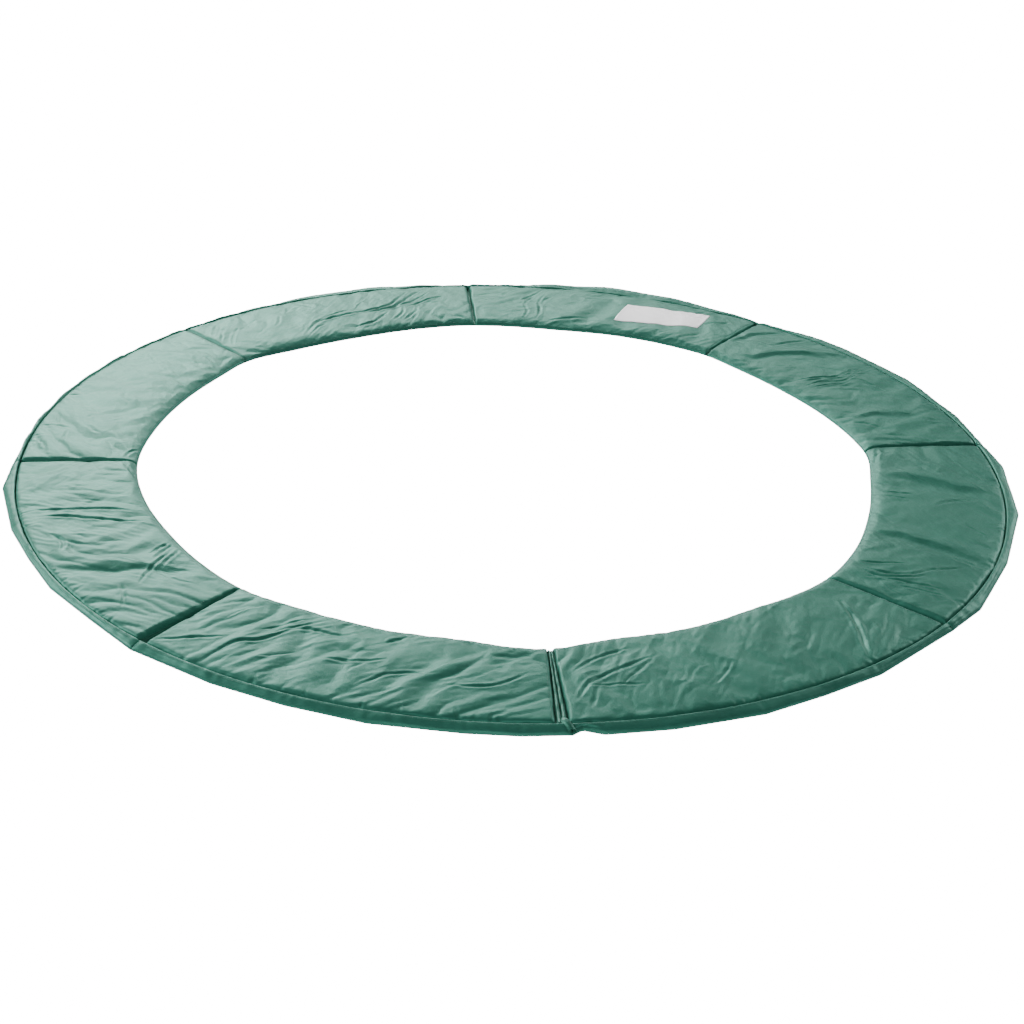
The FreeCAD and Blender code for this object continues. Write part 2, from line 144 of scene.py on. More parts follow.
# Long folds of each cover, as (kind, half width in mm, height in mm, points). A point is
# (share of the panel's length, radius in mm).
FOLDS = {
    1: [
        ("valley", 34, 1.6, [(0.04, 1000), (0.14, 1050), (0.21, 1110), (0.25, 1190)]),
        ("crease", 5, 1.1, [(0.17, 1070), (0.21, 1120), (0.24, 1165), (0.26, 1212)]),
        ("crease", 5, 0.8, [(0.20, 935), (0.21, 1000), (0.20, 1050), (0.22, 1110), (0.24, 1150)]),
        ("crease", 5, 0.8, [(0.25, 935), (0.26, 1000), (0.25, 1060), (0.26, 1120), (0.28, 1160)]),
        ("crease", 6, 0.7, [(0.27, 960), (0.26, 1050), (0.29, 1120), (0.35, 1135)]),
        ("lip", 45, 1.9, [(0.30, 925), (0.38, 980), (0.45, 1070), (0.50, 1170)]),
        ("ridge", 30, 0.8, [(0.04, 1010), (0.14, 1080), (0.2, 1150)]),
        ("valley", 16, 2.0, [(0.52, 950), (0.62, 985), (0.72, 1015), (0.84, 1050)]),
        ("ridge", 26, 1.2, [(0.60, 930), (0.74, 975), (0.88, 1010)]),
        ("crease", 8, 1.0, [(0.86, 1095), (0.91, 1125), (0.95, 1160)]),
        ("valley", 20, 1.0, [(0.90, 990), (0.87, 1080), (0.84, 1160)]),
    ],
    2: [
        ("lip", 26, 2.0, [(0.05, 950), (0.14, 990), (0.2, 1060), (0.27, 1130), (0.34, 1205)]),
        ("valley", 26, 1.6, [(0.14, 945), (0.22, 1020), (0.30, 1075), (0.37, 1145), (0.41, 1205)]),
        ("lip", 18, 1.3, [(0.01, 1020), (0.03, 1100), (0.07, 1170), (0.11, 1210)]),
        ("crease", 7, 1.0, [(0.13, 1075), (0.16, 1120), (0.18, 1170), (0.2, 1205)]),
        ("crease", 5, 1.2, [(0.40, 945), (0.44, 1020), (0.46, 1075), (0.45, 1130), (0.44, 1200)]),
        ("crease", 5, 1.2, [(0.43, 950), (0.46, 1050), (0.47, 1100), (0.46, 1160), (0.465, 1205)]),
        ("crease", 4, 1.0, [(0.47, 935), (0.47, 1000), (0.50, 1070), (0.48, 1140), (0.5, 1195)]),
        ("crease", 4, 0.9, [(0.49, 950), (0.50, 1010), (0.52, 1060), (0.51, 1090)]),
        ("crease", 5, 0.7, [(0.50, 1060), (0.52, 1110), (0.58, 1125), (0.63, 1142)]),
        ("valley", 14, 0.9, [(0.56, 1130), (0.60, 1165), (0.62, 1205)]),
        ("ridge", 22, 1.3, [(0.74, 945), (0.80, 1000), (0.86, 1090), (0.9, 1150), (0.94, 1200)]),
        ("lip", 24, 1.5, [(0.75, 960), (0.76, 1020), (0.78, 1110), (0.76, 1205)]),
        ("crease", 6, 0.7, [(0.80, 935), (0.83, 975), (0.88, 1010)]),
        ("valley", 18, 0.9, [(0.62, 935), (0.68, 1000), (0.73, 1060)]),
    ],
    3: [
        ("ridge", 26, 1.5, [(0.0, 960), (0.08, 1020), (0.17, 1090), (0.24, 1125)]),
        ("lip", 34, 2.0, [(0.17, 935), (0.23, 1030), (0.27, 1120), (0.30, 1205)]),
        ("valley", 28, 1.6, [(0.30, 945), (0.30, 1050), (0.33, 1150), (0.37, 1205)]),
        ("ridge", 22, 0.8, [(0.07, 1140), (0.11, 1175), (0.15, 1208)]),
        ("crease", 6, 0.7, [(0.36, 1160), (0.38, 1100), (0.43, 1045)]),
        ("crease", 5, 0.8, [(0.35, 922), (0.355, 960), (0.36, 1010)]),
        ("crease", 5, 0.7, [(0.38, 925), (0.39, 970), (0.40, 1000)]),
        ("lip", 26, 1.7, [(0.60, 950), (0.63, 1020), (0.66, 1120), (0.675, 1208)]),
        ("valley", 20, 1.7, [(0.67, 935), (0.655, 1000), (0.68, 1080), (0.70, 1180)]),
        ("crease", 7, 0.8, [(0.72, 1195), (0.71, 1130)]),
        ("crease", 5, 1.0, [(0.73, 1185), (0.80, 1110), (0.86, 1070), (0.89, 1000), (0.88, 950)]),
        ("crease", 5, 1.0, [(0.82, 1115), (0.87, 1080), (0.91, 1020), (0.905, 960)]),
        ("crease", 4, 0.8, [(0.80, 1060), (0.84, 1000), (0.87, 945)]),
        ("crease", 4, 0.8, [(0.87, 1180), (0.90, 1080), (0.92, 1020), (0.95, 980)]),
        ("crease", 4, 0.7, [(0.90, 1185), (0.915, 1120), (0.93, 1060)]),
        ("crease", 6, 0.9, [(0.0, 952), (0.06, 944), (0.12, 926)]),
    ],
    4: [
        ("crease", 6, 1.9, [(0.09, 1000), (0.14, 1065), (0.20, 1135), (0.27, 1218)]),
        ("ridge", 30, 1.7, [(0.28, 950), (0.42, 1005), (0.52, 1075), (0.58, 1205)]),
        ("valley", 26, 1.5, [(0.24, 960), (0.38, 1035), (0.48, 1105), (0.54, 1205)]),
        ("lip", 30, 1.8, [(0.54, 945), (0.64, 1035), (0.70, 1105), (0.75, 1200)]),
        ("valley", 26, 1.5, [(0.48, 940), (0.60, 1065), (0.67, 1165)]),
        ("lip", 24, 2.2, [(0.66, 925), (0.75, 978), (0.85, 1020), (0.95, 1075), (0.985, 1150)]),
        ("valley", 22, 1.9, [(0.70, 925), (0.82, 958), (0.93, 1015), (0.99, 1085)]),
        ("crease", 6, 1.1, [(0.72, 1010), (0.84, 1045), (0.93, 1090), (0.98, 1160)]),
        ("crease", 5, 0.9, [(0.78, 965), (0.9, 1000), (0.97, 1050)]),
        ("crease", 4, 0.6, [(0.78, 1112), (0.86, 1102), (0.96, 1100)]),
        ("crease", 5, 0.7, [(0.56, 1080), (0.60, 1115), (0.66, 1150)]),
        ("ridge", 20, 0.9, [(0.86, 1100), (0.92, 1150), (0.96, 1205)]),
    ],
    5: [
        ("lip", 30, 2.1, [(0.10, 945), (0.2, 1000), (0.32, 1090), (0.43, 1205)]),
        ("valley", 24, 1.5, [(0.05, 950), (0.15, 1010), (0.26, 1085), (0.36, 1195)]),
        ("crease", 5, 1.0, [(0.05, 1040), (0.12, 1090), (0.18, 1105), (0.27, 1110)]),
        ("crease", 5, 0.9, [(0.30, 1070), (0.40, 1090), (0.44, 1130), (0.47, 1165)]),
        ("lip", 32, 2.0, [(0.43, 940), (0.56, 1000), (0.66, 1080), (0.79, 1205)]),
        ("valley", 24, 1.6, [(0.38, 950), (0.50, 1030), (0.62, 1080), (0.71, 1200)]),
        ("crease", 5, 0.9, [(0.42, 1040), (0.5, 1070), (0.6, 1090)]),
        ("crease", 6, 0.9, [(0.40, 935), (0.46, 982)]),
        ("crease", 6, 1.3, [(0.52, 935), (0.58, 985), (0.68, 992), (0.72, 1010), (0.77, 1080),
                            (0.82, 1120), (0.84, 1212)]),
        ("crease", 4, 0.9, [(0.68, 960), (0.73, 1010), (0.78, 1060)]),
        ("crease", 4, 0.8, [(0.71, 955), (0.76, 1010), (0.80, 1050)]),
        ("valley", 14, 1.7, [(0.72, 935), (0.80, 1000), (0.86, 1060), (0.96, 1155)]),
        ("crease", 5, 0.9, [(0.85, 1100), (0.93, 1160), (0.99, 1210)]),
        ("ridge", 24, 1.2, [(0.80, 930), (0.90, 955), (0.99, 980)]),
    ],
    6: [
        ("valley", 15, 2.6, [(0.11, 945), (0.20, 1000), (0.26, 1050), (0.31, 1120), (0.39, 1205)]),
        ("lip", 24, 2.0, [(0.24, 1000), (0.33, 1060), (0.38, 1120), (0.46, 1160), (0.53, 1150)]),
        ("crease", 5, 1.1, [(0.19, 1095), (0.26, 1020), (0.31, 950)]),
        ("crease", 5, 1.0, [(0.24, 1010), (0.32, 925)]),
        ("crease", 5, 1.0, [(0.29, 1010), (0.36, 932)]),
        ("crease", 5, 0.8, [(0.33, 1005), (0.37, 935)]),
        ("crease", 5, 0.8, [(0.12, 1175), (0.17, 1140), (0.23, 1115)]),
        ("crease", 6, 1.4, [(0.52, 935), (0.56, 1000), (0.60, 1060), (0.64, 1120), (0.66, 1190)]),
        ("crease", 6, 1.2, [(0.60, 945), (0.66, 1050), (0.69, 1150), (0.70, 1200)]),
        ("crease", 5, 1.0, [(0.44, 1175), (0.50, 1150), (0.57, 1172)]),
        ("ridge", 28, 1.9, [(0.65, 945), (0.80, 1050), (0.90, 1130), (0.96, 1195)]),
        ("valley", 20, 1.7, [(0.63, 985), (0.76, 1085), (0.86, 1185)]),
        ("crease", 6, 1.0, [(0.86, 925), (0.93, 945), (1.0, 965)]),
        ("ridge", 26, 1.2, [(0.36, 960), (0.44, 1030), (0.5, 1100)]),
    ],
    7: [
        ("ridge", 30, 1.0, [(0.33, 1020), (0.55, 1085), (0.72, 1140)]),
        ("valley", 24, 0.9, [(0.28, 990), (0.42, 1030), (0.55, 1060)]),
        ("ridge", 28, 1.2, [(0.58, 960), (0.72, 1035), (0.85, 1125), (0.92, 1150)]),
        ("valley", 18, 1.3, [(0.63, 960), (0.75, 1015), (0.85, 1075)]),
        ("valley", 16, 0.8, [(0.12, 1205), (0.15, 1130), (0.14, 1020)]),
        ("crease", 6, 0.8, [(0.21, 1205), (0.215, 1165), (0.20, 1120)]),
        ("crease", 5, 1.0, [(0.01, 965), (0.06, 952), (0.11, 928)]),
        ("valley", 14, 1.8, [(0.78, 935), (0.88, 958), (0.97, 978)]),
        ("crease", 5, 0.5, [(0.08, 1130), (0.2, 1128)]),
        ("crease", 5, 0.6, [(0.42, 1205), (0.43, 1170)]),
    ],
    8: [
        ("crease", 6, 1.5, [(0.27, 935), (0.35, 990), (0.42, 1020), (0.52, 1035), (0.62, 1045),
                            (0.70, 1070), (0.76, 1130), (0.81, 1205)]),
        ("crease", 6, 1.5, [(0.56, 1025), (0.68, 1040), (0.74, 1070), (0.80, 1140), (0.87, 1205)]),
        ("crease", 5, 1.2, [(0.65, 1030), (0.75, 1060), (0.82, 1110), (0.88, 1175)]),
        ("crease", 5, 1.2, [(0.74, 1025), (0.83, 1080), (0.93, 1135)]),
        ("crease", 5, 1.0, [(0.34, 1000), (0.42, 1030), (0.50, 1058), (0.58, 1070)]),
        ("crease", 4, 0.8, [(0.30, 938), (0.37, 978), (0.43, 1002)]),
        ("ridge", 18, 1.0, [(0.32, 990), (0.38, 1060), (0.44, 1120), (0.52, 1150)]),
        ("crease", 6, 1.1, [(0.49, 945), (0.60, 962), (0.66, 1000), (0.69, 1030)]),
        ("crease", 5, 1.0, [(0.67, 950), (0.73, 1000), (0.75, 1055)]),
        ("crease", 5, 1.0, [(0.71, 945), (0.78, 1000), (0.80, 1060)]),
        ("valley", 14, 1.6, [(0.42, 930), (0.52, 945), (0.62, 940)]),
        ("valley", 13, 1.5, [(0.83, 935), (0.90, 955), (0.97, 950)]),
        ("valley", 16, 1.7, [(0.02, 975), (0.08, 955), (0.15, 975)]),
        ("crease", 5, 0.6, [(0.01, 1060), (0.06, 1110), (0.12, 1160)]),
        ("crease", 5, 0.6, [(0.01, 1100), (0.05, 1140), (0.10, 1185)]),
        ("crease", 5, 0.6, [(0.02, 1020), (0.08, 1075), (0.14, 1120)]),
    ],
}

# Small gathers where a cover is sewn to its outer seam, as shares of the panel's length.
GATHERS = {
    1: [0.33, 0.52, 0.70],
    2: [0.21, 0.35, 0.44, 0.47, 0.50, 0.61, 0.73, 0.78],
    3: [0.14, 0.22, 0.25, 0.48, 0.50, 0.68, 0.72, 0.90],
    4: [0.12, 0.26, 0.43, 0.57, 0.61, 0.63],
    5: [0.14, 0.18, 0.21, 0.34, 0.43, 0.50, 0.56, 0.62, 0.69, 0.88],
    6: [0.10, 0.13, 0.16, 0.19, 0.22, 0.26, 0.29, 0.32, 0.36, 0.38, 0.62, 0.66, 0.69, 0.72],
    7: [0.11, 0.14, 0.21, 0.42, 0.46, 0.49, 0.52, 0.56, 0.58],
    8: [0.04, 0.07, 0.61, 0.72],
}

# Long folds that flow across the covers: distance between them (m) and height (mm), and their
# strength along each panel, as (share of its length, strength).
FLOW_BANDS = [(0.060, 1.7), (0.032, 0.6), (0.017, 0.18)]
FLOW_STRENGTH = {
    1: [(0, 0.5), (0.2, 0.8), (0.3, 0.7), (0.42, 0.3), (0.7, 0.35), (1, 0.5)],
    2: [(0, 0.7), (0.2, 0.6), (0.42, 1.1), (0.6, 0.6), (0.8, 0.9), (1, 0.7)],
    3: [(0, 0.5), (0.25, 0.6), (0.5, 0.3), (0.65, 0.8), (0.85, 0.9), (1, 0.6)],
    4: [(0, 0.35), (0.3, 0.4), (0.5, 0.8), (0.75, 0.9), (1, 0.9)],
    5: [(0, 1.0), (0.4, 1.15), (0.8, 1.1), (1, 0.9)],
    6: [(0, 1.1), (0.25, 0.8), (0.45, 1.2), (0.6, 1.0), (0.8, 0.6), (1, 0.5)],
    7: [(0, 0.8), (0.15, 0.6), (0.3, 0.3), (0.6, 0.3), (1, 0.5)],
    8: [(0, 0.2), (0.28, 0.3), (0.42, 1.1), (0.85, 1.25), (1, 0.9)],
}

# Rounded edges of a pad, as (width in m, fullness): 1 is a straight slope, 2 an ellipse.
COVER_EDGES = {"inner": (0.026, 1.8), "outer": (0.014, 3.0), "end": (0.0085, 2.6)}
FOAM_EDGES = {"inner": (0.026, 1.8), "outer": (0.006, 3.0), "end": (0.006, 3.0)}
FOAM_INSET = 0.010

# How much lower each pad lies along its inner edge, in mm, and how strong its wide folds are.
INNER_DROP = {1: 5.0, 2: 4.0, 3: 2.0, 4: 0.0, 5: 0.0, 6: 1.0, 7: 3.5, 8: 5.0}
WIDE_FOLDS = {1: 1.0, 2: 1.1, 3: 0.8, 4: 0.6, 5: 0.95, 6: 1.1, 7: 1.0, 8: 1.0}

# Heights of the undersides of the covers and of the foam.
COVER_FLOOR = 1.1 * MM
FOAM_FLOOR = 1.3 * MM


class RingSizes(bpy.types.PropertyGroup):
    """Sizes of the pads, of their cloth and of the stitching."""

    crown: FloatProperty(
        name="Crown height", description="Height of a pad's top at its middle",
        default=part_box("panel_1_cover")[1].z, unit="LENGTH")
    shoulder: FloatProperty(
        name="Shoulder height", description="Height of a pad's top beside its rounded edges",
        default=0.0185, unit="LENGTH")
    foam_top: FloatProperty(
        name="Foam top", description="Height of the foam's top inside its cover",
        default=0.0136, unit="LENGTH")
    cell: FloatProperty(
        name="Cloth cell", description="Size of the cover's faces before it is subdivided",
        default=0.0045, unit="LENGTH")
    cloth: FloatProperty(
        name="Cloth thickness", description="Thickness of the coated cloth",
        default=0.0008, unit="LENGTH")
    fold_strength: FloatProperty(
        name="Fold strength", description="How high the long folds of the covers stand",
        default=1.45, subtype="FACTOR")
    streaks: IntProperty(
        name="Small folds", description="Number of small slanting folds in each cover",
        default=11)
    slack: FloatProperty(
        name="Slack of the covers", description="Extra length of the cloth over its pad",
        default=0.005, subtype="FACTOR")
    settling: IntProperty(
        name="Settling frames", description="Frames over which the slack cloth buckles",
        default=12)
    most_settling: FloatProperty(
        name="Most settling", description="No point of a cover settles further than this",
        default=0.0022, unit="LENGTH")
    highest: FloatProperty(
        name="Highest point", description="No fold stands higher, so that the halves can fold",
        default=0.0274, unit="LENGTH")
    stitch: FloatProperty(
        name="Stitch length", description="Length of one stitch of the seams",
        default=0.0034, unit="LENGTH")
    stitch_pitch: FloatProperty(
        name="Stitch spacing", description="Distance from one stitch to the next",
        default=0.0052, unit="LENGTH")
    thread: FloatProperty(
        name="Thread radius", description="Radius of the sewing thread", default=0.00045,
        unit="LENGTH")
    seed: IntProperty(
        name="Wrinkle seed", description="Chooses the fine wrinkles of the cloth", default=4)


class RingColours(bpy.types.PropertyGroup):
    """Colours of the cloths, the foam, the elastic and the thread."""

    cover: FloatVectorProperty(
        name="Cover", description="Green of the padded covers",
        default=(0.022, 0.113, 0.081), subtype="COLOR")
    skirt: FloatVectorProperty(
        name="Skirt", description="Green of the skirt along the outer seam",
        default=(0.025, 0.118, 0.085), subtype="COLOR")
    web: FloatVectorProperty(
        name="Web", description="Green of the webs between the pads",
        default=(0.021, 0.093, 0.066), subtype="COLOR")
    base: FloatVectorProperty(
        name="Backing", description="Green of the sheet under the foam",
        default=(0.029, 0.093, 0.068), subtype="COLOR")
    label: FloatVectorProperty(
        name="Label", description="Off-white of the blank label patch",
        default=(0.95, 0.94, 0.95), subtype="COLOR")
    foam: FloatVectorProperty(
        name="Foam", description="White of the closed-cell foam",
        default=(0.8, 0.81, 0.81), subtype="COLOR")
    elastic: FloatVectorProperty(
        name="Elastic", description="Black of the fastening loops",
        default=(0.02, 0.02, 0.021), subtype="COLOR")
    thread: FloatVectorProperty(
        name="Thread", description="Green of the sewing thread",
        default=(0.030, 0.125, 0.090), subtype="COLOR")


class StudioLook(bpy.types.PropertyGroup):
    """Floor, lights and camera of the studio."""

    floor_glow: FloatProperty(
        name="Floor glow", description="Brightness that the lit backdrop adds to the floor",
        default=16.0)
    power: FloatProperty(
        name="Light power", description="Power of all the softboxes together",
        default=1150.0, unit="POWER")
    elevation: FloatProperty(
        name="Light elevation", description="Angle of the softboxes above the floor",
        default=math.radians(24.0), subtype="ANGLE")
    ambient: FloatProperty(
        name="Room light", description="Brightness of the room above the floor", default=0.14)
    bounce: FloatProperty(
        name="Floor bounce", description="Brightness that comes back from the pale floor",
        default=1.68)
    lens: FloatProperty(
        name="Lens", description="Focal length on a 36 mm wide sensor", default=65.69,
        unit="CAMERA")


def sizes():
    return bpy.context.scene.padded_ring_sizes


def colours():
    return bpy.context.scene.padded_ring_colours


def studio():
    return bpy.context.scene.padded_ring_studio


# Plan of the ring


def smooth_through(points, x):
    """Smooth closed curve through (azimuth, value) points, read at the azimuths x."""
    knots, values = np.array(points, float).T
    knots = np.concatenate([knots[-2:] - 360, knots, knots[:2] + 360])
    values = np.concatenate([values[-2:], values, values[:2]])
    slopes = np.gradient(values, knots)
    x = np.mod(x, 360)
    i = np.clip(np.searchsorted(knots, x, side="right") - 1, 0, len(knots) - 2)
    span = knots[i + 1] - knots[i]
    t = (x - knots[i]) / span
    before = (1 + 2 * t) * (1 - t) ** 2 * values[i] + t * (1 - t) ** 2 * span * slopes[i]
    after = t * t * (3 - 2 * t) * values[i + 1] + t * t * (t - 1) * span * slopes[i + 1]
    return before + after


def inner_radius(azimuth):
    return smooth_through(INNER_EDGE, azimuth) * MM


def outer_radius(azimuth):
    return smooth_through(OUTER_SEAM, azimuth) * MM


def skirt_reach(azimuth):
    """Reach of the skirt's edge, straight between its corners."""
    knots, reach = np.array(SKIRT_CORNERS + [(360 + SKIRT_CORNERS[0][0], SKIRT_CORNERS[0][1])]).T
    azimuth = np.mod(azimuth, 360)
    i = np.clip(np.searchsorted(knots, azimuth, side="right") - 1, 0, len(knots) - 2)
    before, after = np.radians(azimuth - knots[i]), np.radians(knots[i + 1] - azimuth)
    chord = reach[i] * np.sin(before) + reach[i + 1] * np.sin(after)
    return reach[i] * reach[i + 1] * np.sin(before + after) / chord * MM


def seam_side(seam, across, side):
    """Azimuth of a seam's line (side 0) or of the end wall before (-1) or after (1) it."""
    outer_drift, inner_drift = SEAM_DRIFT[(seam - 1) % PANELS]
    outer_gap, inner_gap = SEAM_GAPS[(seam - 1) % PANELS]
    shift = inner_drift + (outer_drift - inner_drift) * across
    half = (inner_gap + (outer_gap - inner_gap) * across) / 2
    radius = INNER_RADIUS + (OUTER_RADIUS - INNER_RADIUS) * across
    return (seam - 1) * PANEL_ANGLE + np.degrees((shift + side * half) * MM / radius)


def middle_of(panel):
    """Azimuth of a panel's middle."""
    return (panel - 0.5) * PANEL_ANGLE


def in_panel(panel, along, across):
    """Azimuth and radius of a point given as shares of a panel's length and width."""
    left = seam_side(panel, across, 1)
    right = seam_side(panel + 1, across, -1)
    azimuth = left + (right - left) * along
    inside = inner_radius(azimuth)
    return azimuth, inside + (outer_radius(azimuth) - inside) * across


def turn_from(middle, azimuth):
    """Degrees from one azimuth to another, from -180 to 180."""
    return np.mod(azimuth - middle + 180, 360) - 180


def shares_of(panel, x, y):
    """Shares of a panel's length and width at a point in plan."""
    radius = np.hypot(x, y)
    middle = middle_of(panel)
    azimuth = middle + turn_from(middle, np.degrees(np.arctan2(x, y)))
    inside = inner_radius(azimuth)
    across = (radius - inside) / (outer_radius(azimuth) - inside)
    left = seam_side(panel, across, 1)
    right = seam_side(panel + 1, across, -1)
    return (azimuth - left) / (right - left), across


def plan(azimuth, radius):
    angle = np.radians(azimuth)
    return radius * np.sin(angle), radius * np.cos(angle)


# Meshes


def edge_rise(distance, width, fullness):
    """How far a rounded edge has risen at this distance from its wall, from 0 to 1."""
    t = np.clip(distance / width, 0, 1)
    return (1 - (1 - t) ** fullness) ** (1 / fullness)


def pad_rise(u, v, edges, inset=0.0):
    """How far a pad has risen at these shares of its length and width, from 0 to 1."""
    inner = edge_rise(v * BAND - inset, *edges["inner"])
    outer = edge_rise((1 - v) * BAND - inset, *edges["outer"])
    width, fullness = edges["end"]
    width = width * (0.5 + 0.6 * np.clip(v, 0, 1))
    from_end = np.minimum(u, 1 - u) * PANEL_LENGTH
    return inner * outer * edge_rise(from_end - inset, width, fullness)


def inner_drop(panel, v):
    """How much lower a pad lies at this share of its width than it would lie flat."""
    return INNER_DROP[panel] * MM * np.clip(1 - v / 0.45, 0, 1) ** 2


def foam_height(panel, u, v):
    """Height of the foam's top at these shares of a pad's length and width, 0 beside it."""
    rise = pad_rise(u, v, FOAM_EDGES, FOAM_INSET)
    top = sizes().foam_top - 0.8 * inner_drop(panel, v)
    return np.where(rise > 0, FOAM_FLOOR + (top - FOAM_FLOOR) * rise, 0)


def rounded_steps(length, cell, first, last):
    """Places along a length as shares of it, closer at its edges of (width, fullness)."""
    ends = []
    for width, fullness in (first, last):
        turn = np.linspace(0, math.pi / 2, max(3, round(1.5 * width / cell)) + 1)
        ends.append(width * (1 - np.cos(turn) ** (2 / fullness)))
    start, end = ends
    count = max(2, round((length - start[-1] - end[-1]) / cell))
    middle = np.linspace(start[-1], length - end[-1], count + 1)[1:-1]
    return np.concatenate([start, middle, length - end[::-1]]) / length


def even_steps(count):
    """Shares of a length at evenly spaced places."""
    return np.arange(count) / (count - 1)


def grid_object(name, along, across, place):
    """Grid with vertices at these shares of its length and width, put where place says.

    place takes each vertex's two shares and gives its point and its flat cloth coordinates
    in metres, for the UV map.
    """
    last = len(along) - 1, len(across) - 1
    bm = bmesh.new()
    bmesh.ops.create_grid(bm, x_segments=last[0], y_segments=last[1], size=0.5)
    obj = new_object(name, bm)
    mesh = obj.data
    column, row = np.rint((coordinates(mesh)[:, :2] + 0.5) * last).astype(int).T
    points, cloth = place(along[column], across[row])
    set_coordinates(mesh, points)
    corner = np.empty(len(mesh.loops), np.int32)
    mesh.loops.foreach_get("vertex_index", corner)
    flat = mesh.uv_layers.new(name="cloth").data
    flat.foreach_set("uv", cloth[corner].astype(np.float32).ravel())
    return obj


def link(name, data):
    obj = bpy.data.objects.new(name, data)
    bpy.context.scene.collection.objects.link(obj)
    return obj


def new_object(name, bm):
    """Object whose mesh is this bmesh, which is freed."""
    mesh = bpy.data.meshes.new(name)
    bm.to_mesh(mesh)
    bm.free()
    return link(name, mesh)


def coordinates(mesh):
    points = np.empty(len(mesh.vertices) * 3, np.float32)
    mesh.vertices.foreach_get("co", points)
    return points.reshape(-1, 3).astype(float)


def set_coordinates(mesh, points):
    mesh.vertices.foreach_set("co", points.astype(np.float32).ravel())
    mesh.update()


def normals(mesh):
    out = np.empty(len(mesh.vertices) * 3, np.float32)
    mesh.vertex_normals.foreach_get("vector", out)
    return out.reshape(-1, 3).astype(float)


def apply_modifiers(obj):
    """Replaces an object's mesh by what its modifiers make of it."""
    depsgraph = bpy.context.evaluated_depsgraph_get()
    made = bpy.data.meshes.new_from_object(obj.evaluated_get(depsgraph), depsgraph=depsgraph)
    obj.modifiers.clear()
    old = obj.data
    obj.data = made
    bpy.data.meshes.remove(old)


def smooth(obj):
    obj.data.shade_smooth()
    return obj


def subdivided(obj):
    step = obj.modifiers.new("finish", "SUBSURF")
    step.levels = step.render_levels = 1
    apply_modifiers(obj)


def thickened(obj, thickness):
    """Gives a sheet its thickness, half on each side."""
    step = obj.modifiers.new("cloth", "SOLIDIFY")
    step.thickness = thickness
    step.offset = 0
    step.use_even_offset = False
    apply_modifiers(obj)
    return obj


@contextlib.contextmanager
def editing(obj):
    """Opens an object's mesh as a bmesh and writes it back."""
    bm = bmesh.new()
    bm.from_mesh(obj.data)
    yield bm
    bm.to_mesh(obj.data)
    bm.free()


def close_underneath(obj, inset, height):
    """Turns an open cover's edge in under it and closes the cover with one flat face."""
    with editing(obj) as bm:
        centre = sum((v.co for v in bm.verts), Vector()) / len(bm.verts)
        rim = [e for e in bm.edges if e.is_boundary]
        for v in bmesh.ops.extrude_edge_only(bm, edges=rim)["geom"]:
            if isinstance(v, bmesh.types.BMVert):
                inwards = centre - v.co
                inwards.z = 0
                v.co += inwards.normalized() * inset
                v.co.z = height
        bmesh.ops.holes_fill(bm, edges=[e for e in bm.edges if e.is_boundary], sides=0)
        bmesh.ops.recalc_face_normals(bm, faces=bm.faces)


def relax(obj, factor):
    """Smooths a sheet twice without moving its edges."""
    with editing(obj) as bm:
        inner = [v for v in bm.verts if not v.is_boundary]
        for _ in range(2):
            bmesh.ops.smooth_vert(bm, verts=inner, factor=factor, use_axis_x=True,
                                  use_axis_y=True, use_axis_z=True)


# Folds and wrinkles


def resampled(points):
    """Points some 8 mm apart on a smooth curve through these."""
    p = np.array(points, float)
    p = np.vstack([2 * p[0] - p[1], p, 2 * p[-1] - p[-2]])
    out = []
    for a, b, c, d in zip(p, p[1:], p[2:], p[3:]):
        count = max(2, int(np.linalg.norm(c - b) / 0.008))
        t = np.arange(count)[:, None] / count
        out.append(0.5 * (2 * b + (c - a) * t + (2 * a - 5 * b + 4 * c - d) * t ** 2
                          + (3 * b - a - 3 * c + d) * t ** 3))
    return np.vstack(out + [p[-2:-1]])


def fold_profile(kind, s):
    """Height of a fold at a distance from its line, in half widths, right side positive."""
    if kind == "ridge":
        return np.exp(-s * s)
    if kind == "valley":
        return -np.exp(-s * s)
    if kind == "lip":
        steep = np.where(s > 0, s / 0.4, s)
        return np.exp(-steep * steep) - 0.55 * np.exp(-((s - 0.95) / 0.5) ** 2)
    return -np.exp(-s * s) + 0.55 * np.exp(-((np.abs(s) - 1.9) / 1.1) ** 2)


